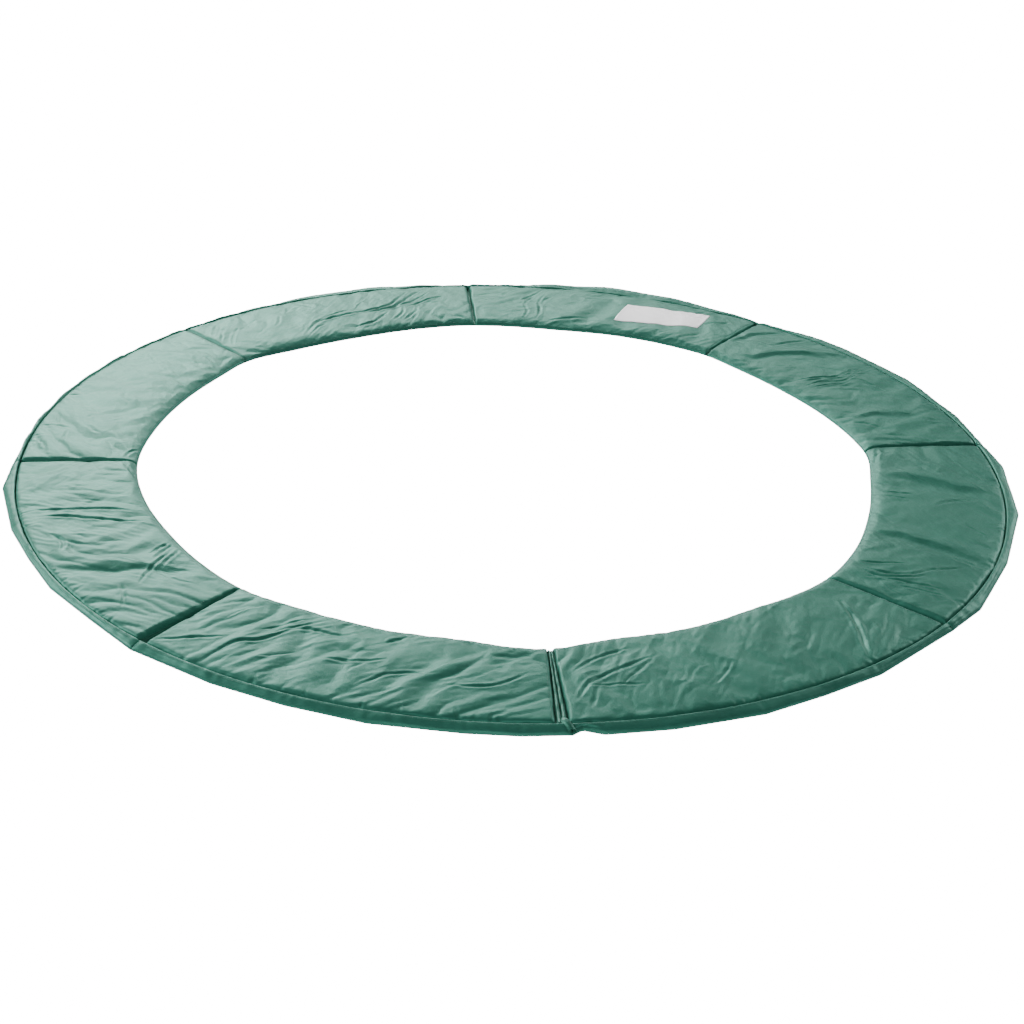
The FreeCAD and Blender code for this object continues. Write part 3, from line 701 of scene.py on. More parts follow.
def fold_height(x, y, path, kind, width, height, random):
    """Height that one fold adds at the points x, y."""
    line = resampled(path)
    reach = 4 * width
    low = line.min(0) - reach
    high = line.max(0) + reach
    near = np.nonzero((x > low[0]) & (x < high[0]) & (y > low[1]) & (y < high[1]))[0]
    out = np.zeros(len(x))
    if len(near) == 0:
        return out
    p = np.stack([x[near], y[near]], 1)
    best = np.full(len(p), 1e9)
    signed = np.zeros(len(p))
    place = np.zeros(len(p))
    steps = np.linalg.norm(np.diff(line, axis=0), axis=1)
    total = steps.sum()
    done = 0.0
    for start, end, step in zip(line, line[1:], steps):
        along = (end - start) / step
        offset = p - start
        t = np.clip(offset @ along, 0, step)
        away = offset - t[:, None] * along
        distance = np.hypot(away[:, 0], away[:, 1])
        closer = distance < best
        best[closer] = distance[closer]
        side = along[1] * offset[:, 0] - along[0] * offset[:, 1]
        signed[closer] = np.where(side < 0, -distance, distance)[closer]
        place[closer] = (done + t[closer]) / total
        done += step
    phases = random.uniform(0, 2 * math.pi, 4)
    wobble = np.sin(place * 11 + phases[0]) + 0.6 * np.sin(place * 23 + phases[1])
    change = 1 + 0.14 * np.sin(place * 9 + phases[2]) + 0.1 * np.sin(place * 19 + phases[3])
    ends = np.clip(np.minimum(place, 1 - place) / 0.3, 0, 1)
    ends = ends * ends * (3 - 2 * ends)
    beyond = np.exp(-np.maximum(0, best - np.abs(signed)) / width)
    spread = width * (0.65 + 0.35 * ends)
    out[near] = fold_profile(kind, (signed + wobble * width * 0.16) / spread) * height * ends
    out[near] *= change * beyond
    return out


def ripples(x, y, wavelength, heading, spread, random, waves=22):
    """Random ripples of about this wavelength, of unit height, their crests along heading."""
    total = np.zeros(len(x))
    for _ in range(waves):
        angle = math.radians(heading + 90 + random.normal(0, spread))
        number = 2 * math.pi / (wavelength * random.uniform(0.7, 1.5))
        total += np.cos((x * math.sin(angle) + y * math.cos(angle)) * number
                        + random.uniform(0, 2 * math.pi))
    return total / math.sqrt(waves / 2)


def patches(x, y, size, random):
    """Soft random mask from 0 to 1 with patches of about this size."""
    return 1 / (1 + np.exp(-2.2 * ripples(x, y, size, 0, 180, random)))


def broad_folds(panel, x, y, random):
    """Height of a cover's wide folds and slow undulation above its smooth crown."""
    heading = middle_of(panel) + FOLD_TURN
    total = long_folds(panel, x, y, random, sharp=False)
    total += 0.3 * MM * ripples(x, y, 0.13, heading, 22, random)
    return total + flowing_folds(panel, x, y, heading, random)


def sharp_folds(panel, x, y, random):
    """Height of a cover's creases and of the small folds among them."""
    total = long_folds(panel, x, y, random, sharp=True)
    for _ in range(sizes().streaks):
        total += streak(panel, x, y, random)
    return total


def long_folds(panel, x, y, random, sharp):
    """Height of the listed folds, either the creases or all the others."""
    total = np.zeros(len(x))
    for kind, width, height, points in FOLDS[panel]:
        if (kind == "crease") != sharp:
            continue
        corners = np.array(points, float)
        azimuth, _ = in_panel(panel, corners[:, 0], (corners[:, 1] / 1000 - 0.92) / BAND)
        path = np.stack(plan(azimuth, corners[:, 1] * MM), 1)
        lift = height * MM * sizes().fold_strength * (1.15 if sharp else WIDE_FOLDS[panel])
        half_width = width * MM * (0.8 if sharp else 1)
        total += fold_height(x, y, path, kind, half_width, lift, random)
    return total


def flowing_folds(panel, x, y, heading, random):
    """Long slanting folds that wander, part and die away: round tops and narrow valleys."""
    angle = math.radians(heading)
    ahead = x * math.sin(angle) + y * math.cos(angle)
    aside = x * math.cos(angle) - y * math.sin(angle)
    total = np.zeros(len(x))
    for spacing, height in FLOW_BANDS:
        wander = 0.24 * spacing * ripples(ahead, aside, 0.30, 0, 50, random, 12)
        wander += 0.10 * spacing * ripples(ahead, aside, 0.12, 0, 50, random, 12)
        turn = math.pi * (aside + wander) / spacing + random.uniform(0, math.pi)
        shape = 1.6 * np.sqrt(np.cos(turn) ** 2 + 0.012) - 1.0
        level = ripples(ahead * 0.32, aside * 1.2, 0.11, 0, 90, random, 16)
        total += height * MM * shape / (1 + np.exp(-2.6 * (level - 0.15)))
    along, _ = shares_of(panel, x, y)
    return total * np.interp(along, *np.array(FLOW_STRENGTH[panel]).T)


def streak(panel, x, y, random):
    """One small slanting fold at a random place of a panel."""
    along, across = random.uniform(0.05, 0.95), random.uniform(0.12, 0.9)
    azimuth, radius = in_panel(panel, along, across)
    middle = np.array(plan(azimuth, radius))
    heading = math.radians(middle_of(panel) + random.normal(FOLD_TURN, 17))
    length = random.uniform(0.05, 0.15)
    ahead = np.array([math.sin(heading), math.cos(heading)])
    aside = np.array([ahead[1], -ahead[0]]) * random.uniform(-0.12, 0.12) * length
    path = [middle - ahead * length / 2, middle + aside, middle + ahead * length / 2]
    width = random.uniform(3.5, 8) * MM
    kind = ("crease", "crease", "ridge", "lip")[random.integers(4)]
    return fold_height(x, y, path, kind, width, random.uniform(0.4, 1.1) * MM, random)


def fine_wrinkles(panel, x, y, random):
    """Height of a cover's crinkles, and of its gathers at the outer seam."""
    heading = middle_of(panel) + FOLD_TURN
    mask = patches(x, y, 0.16, random)
    total = 0.10 * MM * mask * ripples(x, y, 0.020, heading, 14, random)
    total += 0.018 * MM * ripples(x, y, 0.011, heading, 60, random)
    along, across = shares_of(panel, x, y)
    from_edge = np.maximum(1 - across, 0) * BAND
    for share in GATHERS[panel]:
        width = random.uniform(3.5, 6) * MM
        length = random.uniform(14, 34) * MM
        lean = random.uniform(-0.35, 0.35)
        side = (along - share) * OUTER_LENGTH - lean * from_edge
        depth = random.uniform(0.7, 1.3) * MM
        shape = fold_profile("crease", side / width)
        total += depth * shape * np.exp(-(from_edge / length) ** 1.6)
    return total


# Shader nodes


class Level:
    """A number that varies over a surface. Arithmetic on it adds Math nodes."""

    def __init__(self, finish, socket):
        self.finish = finish
        self.socket = socket

    def math(self, operation, first, second):
        return self.finish.node("ShaderNodeMath", {"operation": operation},
                                {0: first, 1: second})

    def __add__(self, other):
        return self.math("ADD", self, other)

    def __radd__(self, other):
        return self.math("ADD", other, self)

    def __mul__(self, other):
        return self.math("MULTIPLY", self, other)

    def __rmul__(self, other):
        return self.math("MULTIPLY", other, self)


class Finish:
    """A material under construction, with a Principled shader at its end."""

    def __init__(self, name):
        self.material = bpy.data.materials.new(name)
        self.material.use_nodes = True
        self.tree = self.material.node_tree
        self.tree.nodes.clear()

    def node(self, kind, settings=None, inputs=None, output=0):
        made = self.tree.nodes.new(kind)
        for key, value in (settings or {}).items():
            if key == "stops":
                for stop, (place, level) in zip(made.color_ramp.elements, value):
                    stop.position = place
                    stop.color = (level, level, level, 1)
            else:
                setattr(made, key, value)
        for key, value in (inputs or {}).items():
            if isinstance(value, Level):
                self.tree.links.new(value.socket, made.inputs[key])
            else:
                made.inputs[key].default_value = value
        return Level(self, made.outputs[output])

    def place(self):
        return self.node("ShaderNodeTexCoord", output="Object")

    def cloth(self):
        return self.node("ShaderNodeUVMap", {"uv_map": "cloth"})

    def noise(self, where, scale, detail=2.0, roughness=0.5):
        return self.node("ShaderNodeTexNoise", {},
                         {"Vector": where, "Scale": scale, "Detail": detail,
                          "Roughness": roughness})

    def between(self, level, low, high):
        """A colour between two, by a level from 0 to 1."""
        return self.node("ShaderNodeMix", {"data_type": "RGBA"},
                         {0: level, 6: (*low, 1), 7: (*high, 1)}, output=2)

    def ramp(self, level, low, high):
        """0 below low, 1 above high."""
        return self.node("ShaderNodeValToRGB", {"stops": [(low, 0), (high, 1)]}, {0: level})

    def bump(self, height, distance, below=None):
        inputs = {"Height": height, "Distance": distance}
        if below is not None:
            inputs["Normal"] = below
        return self.node("ShaderNodeBump", {}, inputs)

    def weave(self, pitch):
        """Crossed threads of this pitch, from 0 to 1."""
        across = self.node("ShaderNodeSeparateXYZ", {}, {0: self.cloth()})
        along = self.node("ShaderNodeSeparateXYZ", {}, {0: self.cloth()}, output=1)
        turn = 2 * math.pi / pitch
        warp = self.node("ShaderNodeMath", {"operation": "SINE"}, {0: across * turn})
        weft = self.node("ShaderNodeMath", {"operation": "SINE"}, {0: along * turn})
        return warp * weft * 0.5 + 0.5

    def done(self, colour, roughness, normal, **constants):
        inputs = {"Base Color": colour, "Roughness": roughness, "Normal": normal}
        inputs.update({key.replace("_", " "): value for key, value in constants.items()})
        shader = self.node("ShaderNodeBsdfPrincipled", {}, inputs)
        end = self.tree.nodes.new("ShaderNodeOutputMaterial")
        self.tree.links.new(shader.socket, end.inputs["Surface"])
        return self.material


def scaled(colour, factor):
    return tuple(c * factor for c in colour)


def coated_cloth(name, colour, crinkle=1.0):
    """Satin coated cloth: plain weave under a skin, crinkled, slightly uneven in colour."""
    finish = Finish(name)
    where = finish.place()
    clouds = finish.noise(where, 5.0, 3.0, 0.55)
    specks = finish.noise(where, 90.0, 3.0, 0.6)
    tone = finish.ramp(clouds * 0.75 + specks * 0.25, 0.3, 0.7)
    body = finish.between(tone, scaled(colour, 0.9), scaled(colour, 1.1))
    crumple = finish.noise(where, 26.0, 3.0, 0.5)
    fine = finish.noise(where, 110.0, 2.0, 0.5)
    bumped = finish.bump(crumple, 0.0009 * crinkle)
    bumped = finish.bump(fine, 0.00027 * crinkle, below=bumped)
    bumped = finish.bump(finish.weave(0.0016), 0.00005, below=bumped)
    return finish.done(body, 0.40 + 0.08 * specks, bumped, Metallic=0.22,
                       Specular_IOR_Level=0.30, Specular_Tint=(0.3, 1.0, 0.76, 1))


def matte_cloth(name, colour):
    """Uncoated side of a cloth, with its threads showing."""
    finish = Finish(name)
    where = finish.place()
    threads = finish.weave(0.0022)
    clouds = finish.noise(where, 9.0, 3.0, 0.6)
    body = finish.between(clouds * 0.6 + threads * 0.4, scaled(colour, 0.8), scaled(colour, 1.15))
    bumped = finish.bump(finish.noise(where, 40.0, 2.0), 0.0012)
    bumped = finish.bump(threads, 0.00015, below=bumped)
    return finish.done(body, 0.62 + 0.1 * clouds, bumped)


def label_cloth(name, colour):
    """Blank woven patch, faintly creased."""
    finish = Finish(name)
    where = finish.place()
    clouds = finish.noise(where, 14.0, 3.0, 0.6)
    body = finish.between(clouds, scaled(colour, 0.93), scaled(colour, 1.04))
    bumped = finish.bump(finish.noise(where, 60.0, 2.0), 0.0008)
    bumped = finish.bump(finish.weave(0.0009), 0.00006, below=bumped)
    return finish.done(body, 0.5 + 0.1 * clouds, bumped)


def closed_foam(name, colour):
    """Closed-cell foam, with its small cells cut open on the surface."""
    finish = Finish(name)
    where = finish.place()
    cells = finish.node("ShaderNodeTexVoronoi", {}, {"Vector": where, "Scale": 420.0})
    clouds = finish.noise(where, 12.0, 2.0)
    body = finish.between(clouds, scaled(colour, 0.92), scaled(colour, 1.05))
    return finish.done(body, 0.85 + 0.05 * clouds, finish.bump(cells, 0.0006))


def elastic_band(name, colour):
    """Ribbed elastic."""
    finish = Finish(name)
    ribs = finish.weave(0.0016)
    body = finish.between(ribs, scaled(colour, 0.7), scaled(colour, 1.8))
    return finish.done(body, 0.6 + 0.1 * ribs, finish.bump(ribs, 0.0002))


def thread_finish(name, colour):
    """Twisted sewing thread."""
    finish = Finish(name)
    twist = finish.noise(finish.place(), 900.0, 1.0)
    body = finish.between(twist, scaled(colour, 0.7), scaled(colour, 1.5))
    return finish.done(body, 0.5 + 0.1 * twist, finish.bump(twist, 0.0001))


def material(name, make, colour, **options):
    return bpy.data.materials.get(name) or make(name, tuple(colour), **options)


# Pieces


def coat(obj, finish):
    obj.data.materials.clear()
    obj.data.materials.append(finish)
    return smooth(obj)


def declared(obj, body, slot, *nodes):
    """Lets a piece ride on its body in place of its CAD nodes."""
    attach(obj, body)
    if nodes:
        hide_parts(*nodes)


def panel_pieces(make, finish, slot, node):
    """Makes a piece for each panel in place of the panel's CAD node."""
    for panel in range(1, PANELS + 1):
        piece = coat(make(panel), finish)
        declared(piece, BODY_OF_PANEL[panel], slot, f"panel_{panel}_{node}")
        yield panel, piece


def half_area(obj):
    """Area of one side of a thin sheet."""
    return sum(face.area for face in obj.data.polygons) / 2


def cover_object(panel):
    """One padded cover: crowned, folded, simulated and closed underneath."""
    s = sizes()
    random = np.random.default_rng(s.seed * 100 + panel)
    along = rounded_steps(PANEL_LENGTH, s.cell, COVER_EDGES["end"], COVER_EDGES["end"])
    across = rounded_steps(COVER_WIDTH, s.cell, COVER_EDGES["inner"], COVER_EDGES["outer"])

    def place(u, v):
        x, y = plan(*in_panel(panel, u, v))
        middle = (1 - (2 * v - 1) ** 2) * (1 - np.abs(2 * u - 1) ** 3.5 * 0.8)
        top = s.shoulder + (s.crown - s.shoulder) * middle - 0.6 * MM
        top += broad_folds(panel, x, y, random) - inner_drop(panel, v)
        z = COVER_FLOOR + (top - COVER_FLOOR) * pad_rise(u, v, COVER_EDGES)
        return np.stack([x, y, z], 1), np.stack([u * CLOTH_LENGTH, v * BAND], 1)

    obj = grid_object(f"cover_{panel}", along, across, place)
    settle(obj, s)
    set_coordinates(obj.data, off_the_foam(panel, coordinates(obj.data)))
    subdivided(obj)
    points = coordinates(obj.data)
    upper = normals(obj.data)
    top = np.clip((points[:, 2] - 4 * MM) / (8 * MM), 0, 1) * (upper[:, 2] > -0.2)
    wrinkles = fine_wrinkles(panel, points[:, 0], points[:, 1], random)
    wrinkles += sharp_folds(panel, points[:, 0], points[:, 1], random)
    points = off_the_foam(panel, points + upper * (wrinkles * top)[:, None])
    points[:, 2] = np.minimum(points[:, 2], s.highest)
    set_coordinates(obj.data, points)
    close_underneath(obj, 0.01, COVER_FLOOR)
    return obj


def off_the_foam(panel, points):
    """Lifts the points of a cover that would lie in its foam."""
    along, across = shares_of(panel, points[:, 0], points[:, 1])
    foam = foam_height(panel, along, across)
    lifted = np.maximum(points[:, 2], foam + 0.9 * MM)
    points[:, 2] = np.where(foam > 0, lifted, points[:, 2])
    return points


def settle(obj, s):
    """Lets the slack cloth of a cover buckle over its foam, held along its sewn edges.

    The cloth is a little longer than its pad, so it puckers. No point moves further than
    the cap.
    """
    start = coordinates(obj.data)
    held = obj.vertex_groups.new(name="sewn")
    low = np.nonzero(start[:, 2] < 7 * MM)[0]
    held.add([int(i) for i in low], 1.0, "REPLACE")
    cloth = obj.modifiers.new("settle", "CLOTH")
    cloth.settings.quality = 4
    cloth.settings.mass = 0.15
    cloth.settings.tension_stiffness = cloth.settings.compression_stiffness = 12
    cloth.settings.shear_stiffness = 4
    cloth.settings.bending_stiffness = 0.05
    cloth.settings.vertex_group_mass = held.name
    cloth.settings.shrink_min = cloth.settings.shrink_max = -s.slack
    cloth.settings.effector_weights.gravity = 0
    cloth.collision_settings.use_collision = False
    cloth.point_cache.frame_start = 1
    cloth.point_cache.frame_end = s.settling
    for number in range(1, s.settling + 1):
        bpy.context.scene.frame_set(number)
    apply_modifiers(obj)
    bpy.context.scene.frame_set(1)
    moved = coordinates(obj.data) - start
    length = np.maximum(np.linalg.norm(moved, axis=1), 1e-9)
    moved *= np.minimum(1, s.most_settling / length)[:, None]
    set_coordinates(obj.data, start + moved)
    obj.vertex_groups.clear()


class RING_OT_covers(bpy.types.Operator):
    """Make the eight padded covers, with their folds and wrinkles"""

    bl_idname = "padded_ring.covers"
    bl_label = "Padded covers"

    def execute(self, context):
        cloth = material("satin_coated_green_cloth", coated_cloth, colours().cover)
        for _, cover in panel_pieces(cover_object, cloth, "cover_fabric", "cover"):
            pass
        return {"FINISHED"}


def foam_object(panel):
    """Slab of closed-cell foam inside a cover, with softly rounded edges."""
    along = rounded_steps(FOAM_SIZE[0], 0.012, FOAM_EDGES["end"], FOAM_EDGES["end"])
    across = rounded_steps(FOAM_SIZE[1], 0.010, FOAM_EDGES["inner"], FOAM_EDGES["outer"])

    def place(u, v):
        u = FOAM_INSET / PANEL_LENGTH + u * (1 - 2 * FOAM_INSET / PANEL_LENGTH)
        v = FOAM_INSET / BAND + v * (1 - 2 * FOAM_INSET / BAND)
        x, y = plan(*in_panel(panel, u, v))
        z = np.maximum(foam_height(panel, u, v), FOAM_FLOOR)
        return np.stack([x, y, z], 1), np.stack([u, v], 1)

    obj = grid_object(f"foam_{panel}", along, across, place)
    close_underneath(obj, 0.003, FOAM_FLOOR)
    return obj


class RING_OT_foam(bpy.types.Operator):
    """Make the eight foam slabs inside the covers"""

    bl_idname = "padded_ring.foam"
    bl_label = "Foam slabs"

    def execute(self, context):
        finish = material("closed_cell_foam", closed_foam, colours().foam)
        for _, slab in panel_pieces(foam_object, finish, "foam", "foam"):
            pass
        return {"FINISHED"}


# Backing sheets and skirts end this far from a seam's line, as a share of the way to the wall.
SEAM_MIDDLE = 0.02


def base_object(panel):
    """Backing sheet under a pad, sewn to the cover along all its edges."""
    random = np.random.default_rng(900 + panel)

    def place(u, v):
        azimuth, radius = in_panel(panel, u, v)
        radius = radius + v ** 6 * 3 * MM
        azimuth = np.where(u == 0, seam_side(panel, v, SEAM_MIDDLE), azimuth)
        azimuth = np.where(u == 1, seam_side(panel + 1, v, -SEAM_MIDDLE), azimuth)
        x, y = plan(azimuth, radius)
        z = 0.55 * MM + 0.08 * MM * ripples(x, y, 0.06, middle_of(panel), 60, random)
        return np.stack([x, y, z], 1), np.stack([u * CLOTH_LENGTH, v * BAND], 1)

    obj = grid_object(f"backing_{panel}", even_steps(70), even_steps(26), place)
    return thickened(obj, sizes().cloth)


class RING_OT_bases(bpy.types.Operator):
    """Make the backing sheets under the pads"""

    bl_idname = "padded_ring.bases"
    bl_label = "Backing sheets"

    def execute(self, context):
        finish = material("matte_backing_cloth", matte_cloth, colours().base)
        for panel, sheet in panel_pieces(base_object, finish, "base_sheet", "base"):
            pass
        return {"FINISHED"}


# Section of the skirt, from the crevice beside the pad over the crest to the fold on the
# ground and back: (share of the way from the outer seam to the edge, mm past that, height,
# and shares of the lift by which it stands up and leans back over the pad).
SKIRT_SECTION = [(0, 0.6, 7.0, 0, 0), (0, 1.6, 12.0, 0.05, 0.3), (0, 3.4, 16.0, 0.05, 0.7),
                 (0, 6.2, 17.4, 0.08, 1.0), (0, 9.5, 16.6, 0.25, 0.8),
                 (0.5, 2.0, 14.6, 0.8, 0.4), (1, -8.0, 12.2, 1.2, 0.2),
                 (1, -3.2, 9.4, 1.4, 0), (1, -0.7, 5.6, 1.3, 0), (1, -0.8, 2.4, 0.6, 0),
                 (1, -3.2, 0.9, 0, 0), (1, -7.0, 0.7, 0, 0), (0, 3.8, 0.7, 0, 0)]

# Azimuths of the skirt's ends at the open join; elsewhere they meet in the seams.
SKIRT_STARTS = {5: 180.39}
SKIRT_ENDS = {4: 180.37}


def skirt_object(panel):
    """Folded strip of cloth along a pad's outer seam, with a pleat at each of its corners."""
    random = np.random.default_rng(500 + panel)
    start = SKIRT_STARTS.get(panel, seam_side(panel, 1.0, SEAM_MIDDLE))
    end = SKIRT_ENDS.get(panel, seam_side(panel + 1, 1.0, -SEAM_MIDDLE))
    share, past, height, stands, leans = np.array(SKIRT_SECTION).T
    knots = np.linspace(0, 1, len(share))

    def place(u, t):
        azimuth = start + (end - start) * u
        seam, reach = outer_radius(azimuth), skirt_reach(azimuth)
        radius = seam + (reach - seam) * np.interp(t, knots, share)
        lift = smooth_through(SKIRT_LIFT, azimuth) * MM
        radius += np.interp(t, knots, past) * MM - lift * np.interp(t, knots, leans)
        z = np.interp(t, knots, height) * MM + lift * np.interp(t, knots, stands)
        outer_face = np.exp(-((t - 0.42) / 0.24) ** 2)
        length = np.radians(azimuth) * SKIRT_RADIUS
        slow = ripples(length, length * 0, 0.16, 0, 5, random)
        quick = ripples(length, length * 0, 0.035, 0, 5, random)
        change = 0.9 * slow + 0.35 * quick
        for corner, _ in SKIRT_CORNERS:
            apart = turn_from(corner, azimuth) * SKIRT_DEGREE
            lean = apart + (t - 0.4) * random.uniform(-0.02, 0.02)
            change += 1.1 * fold_profile("crease", lean / random.uniform(0.004, 0.008))
        to_end = np.minimum(azimuth - start, end - azimuth) * SKIRT_DEGREE
        pinch = np.exp(-(to_end / 0.008) ** 2)
        change = change * outer_face * MM
        z = z + change * 0.8 - pinch * outer_face * 3.5 * MM
        radius = radius + change * 0.5
        x, y = plan(azimuth, radius)
        cloth = np.stack([length - np.radians(start) * SKIRT_RADIUS, t * 0.062], 1)
        return np.stack([x, y, np.maximum(z, 0.55 * MM)], 1), cloth

    obj = grid_object(f"skirt_{panel}", even_steps(190), even_steps(30), place)
    relax(obj, 0.35)
    return thickened(obj, sizes().cloth)


class RING_OT_skirts(bpy.types.Operator):
    """Make the eight lengths of skirt along the outer seam"""

    bl_idname = "padded_ring.skirts"
    bl_label = "Skirt"

    def execute(self, context):
        finish = material("satin_skirt_cloth", coated_cloth, colours().skirt, crinkle=0.7)
        for panel, skirt in panel_pieces(skirt_object, finish, "skirt_fabric", "skirt"):
            area = half_area(skirt)
        return {"FINISHED"}


# Sections of the webs: heights of the sewn edges and of the middle, and each hem's width, in mm.
HOLLOW_WEB = (7.6, 1.7, 0.8)
FULL_WEB = (14.6, 12.0, 2.6)


def half_gap(seam, along, radius):
    """Half the width of a seam's gap at a share of its length."""
    return (seam_side(seam, along, 1) - seam_side(seam, along, 0)) * np.radians(radius)


def web_object(name, seam, section=HOLLOW_WEB):
    """Strip of cloth in a seam, sagging from its sewn edges on the pads' end walls."""
    top, floor, tuck = (value * MM for value in section)
    heading = (seam - 1) * PANEL_ANGLE

    def place(u, v):
        along = 0.008 + u
        t = 2 * v - 1
        inside = inner_radius(heading)
        radius = inside + (outer_radius(heading) - inside) * along
        half = half_gap(seam, along, radius)
        bend = np.clip((np.abs(t) - 0.6) / 0.4, 0, 1)
        offset = np.sign(t) * (half * np.minimum(np.abs(t) / 0.6, 1) + tuck * bend)
        azimuth = seam_side(seam, along, 0) + np.degrees(offset / radius)
        x, y = plan(azimuth, radius)
        z = floor + (top - floor) * np.abs(t) ** 2.5
        z += 0.3 * MM * np.sin(along * 41 + seam) * (1 - bend)
        z = 1.5 * MM + (z - 1.5 * MM) * edge_rise(along * SEAM_LENGTH, *COVER_EDGES["inner"])
        return np.stack([x, y, z], 1), np.stack([along * BAND, t * 0.01], 1)

    return thickened(grid_object(name, even_steps(60), even_steps(15), place), sizes().cloth)


def seam_point(seam, side):
    """Point half way along a seam, at the wall before it (-1) or after it (1)."""
    outer, inner = (Vector((*plan(seam_side(seam, v, side), r), 0))
                    for v, r in ((1.0, OUTER_RADIUS), (0.0, INNER_RADIUS)))
    return (outer + inner) / 2


# Webs in the seams that fold, as (body before, body after, panel before), and in the others.
FOLD_WEBS = {1: ("back_left", "back_right", 8), 3: ("back_right", "front_right", 2),
             7: ("front_left", "back_left", 6)}
PLAIN_WEBS = {2: "back_right", 4: "front_right", 6: "front_left", 8: "back_left"}


class RING_OT_webs(bpy.types.Operator):
    """Make the webs between the pads, and the strips of the open join"""

    bl_idname = "padded_ring.webs"
    bl_label = "Webs"

    def execute(self, context):
        finish = material("satin_web_cloth", coated_cloth, colours().web, crinkle=0.8)
        for seam, body in PLAIN_WEBS.items():
            section = FULL_WEB if seam == 8 else HOLLOW_WEB
            web = coat(web_object(f"web_{seam}", seam, section), finish)
            declared(web, body, "web_fabric", f"seam_web_{seam}")
            half_area(web) / 0.28
        for seam, (before, after, panel) in FOLD_WEBS.items():
            web = coat(web_object(f"fold_web_{seam}", seam), finish)
            seam_point(seam, -1)
            seam_point(seam, 1)
            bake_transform(web)
            after_panel = panel % PANELS + 1
            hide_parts(f"fold_web_{seam}_on_panel_{panel}",
                        f"fold_web_{seam}_on_panel_{after_panel}")
            half_area(web) / 0.28
        for name, side, body in (("join_strip_right", -1, "front_right"),
                                 ("join_strip_left", 1, "front_left")):
            strip = coat(join_strip(f"{name}_roll", side), finish)
            declared(strip, body, "web_fabric", name)
            half_area(strip) / 0.31
        corner = coat(rolled_corner(), finish)
        declared(corner, "front_left", "skirt_fabric")
        half_area(corner) / 0.042
        return {"FINISHED"}


# Section of a join strip from the pad's wall over its roll to the open edge: (place across
# the gap, 1 at the wall and 0 in the middle, and share of the roll's height).
JOIN_SECTION = [(1.06, 0.55), (1.00, 0.50), (0.94, 0.52), (0.87, 0.66), (0.79, 0.84),
                (0.66, 0.96), (0.46, 1.00), (0.26, 0.95), (0.12, 0.80), (0.05, 0.52),
                (0.12, 0.26), (0.32, 0.14)]
OPEN_SEAM = 5
JOIN_RADII = (0.934, 1.222)


def join_strip(name, side):
    """Rolled edge of cloth beside a pad's end at the open join, turned down over the skirt."""
    inner, outer = JOIN_RADII
    across, rise = np.array(JOIN_SECTION).T
    knots = np.linspace(0, 1, len(across))

    def place(along, t):
        radius = inner + (outer - inner) * along
        offset = half_gap(OPEN_SEAM, along, radius) * np.interp(t, knots, across)
        top = (12.5 + 3.5 * np.sin(along * math.pi / 2)) * MM
        hollow = (side > 0) * np.exp(-((along - 0.38) / 0.3) ** 4 - ((t - 0.2) / 0.14) ** 2)
        rising = np.interp(t, knots, rise) * (1 - 0.75 * hollow)
        rising *= edge_rise(along * SEAM_LENGTH + 2 * MM, *COVER_EDGES["inner"])
        z = 1.2 * MM + (top - 1.2 * MM) * rising
        free = np.clip(t * 3 - 0.6, 0, 1)
        wave = (0.8 * np.sin(along * 24 + 2 * side) + 0.5 * np.sin(along * 57 + side)) * MM * free
        beside = np.degrees((side * offset + 0.6 * wave) / radius)
        x, y = plan(seam_side(OPEN_SEAM, along, 0) + beside, radius)
        z = np.maximum(z + wave, 1.0 * MM)
        return np.stack([x, y, z], 1), np.stack([along * BAND, t * 0.03], 1)

    obj = grid_object(name, even_steps(120), even_steps(34), place)
    relax(obj, 0.5)
    return thickened(obj, sizes().cloth)


# Rolled corner of the open join, down over the skirt: (azimuth, then radius and height of its
# middle line and radius of the roll in mm), where the roll starts and how far it turns.
ROLL_PATH = [(181.05, 1203, 14.5, 3.0), (181.00, 1211, 15.5, 6.0), (180.90, 1219, 15.0, 8.6),
             (180.75, 1228, 13.2, 9.6), (180.55, 1237, 11.2, 9.0), (180.40, 1244, 9.6, 7.4)]
ROLL_START = math.radians(-70)
ROLL_TURN = 1.35 * 2 * math.pi


def rolled_corner():
    """Cloth rolled up into a short open tube where the join meets the skirt."""
    stations = np.array(ROLL_PATH)
    knots = np.linspace(0, 1, len(stations))

    def place(along, t):
        azimuth, radius, height, roll = (np.interp(along, knots, c) for c in stations.T)
        turn = ROLL_START + ROLL_TURN * t
        reach = roll * (1 - 0.32 * t) * (1 + 0.08 * np.sin(3 * turn + along * 5))
        azimuth = azimuth + np.degrees(reach * np.cos(turn) * 1.15 / radius)
        z = np.maximum(height + reach * np.sin(turn), 0.8)
        x, y = plan(azimuth, radius * MM)
        return np.stack([x, y, z * MM], 1), np.stack([along * 0.04, t * 0.04875], 1)

    roll = grid_object("join_corner", even_steps(24), even_steps(40), place)
    return thickened(roll, sizes().cloth)


# Elastic loops: degrees from the middle of their panel, ribs across the band, and half the
# length, half the depth, distance past the outer seam and lower and upper edge in mm.
LOOP_OFFSETS = (-12.0, 12.0)
LOOP_RIBS = 11
LOOP_SIZES = (29.0, 1.1, 2.7, 2.2, 12.0)


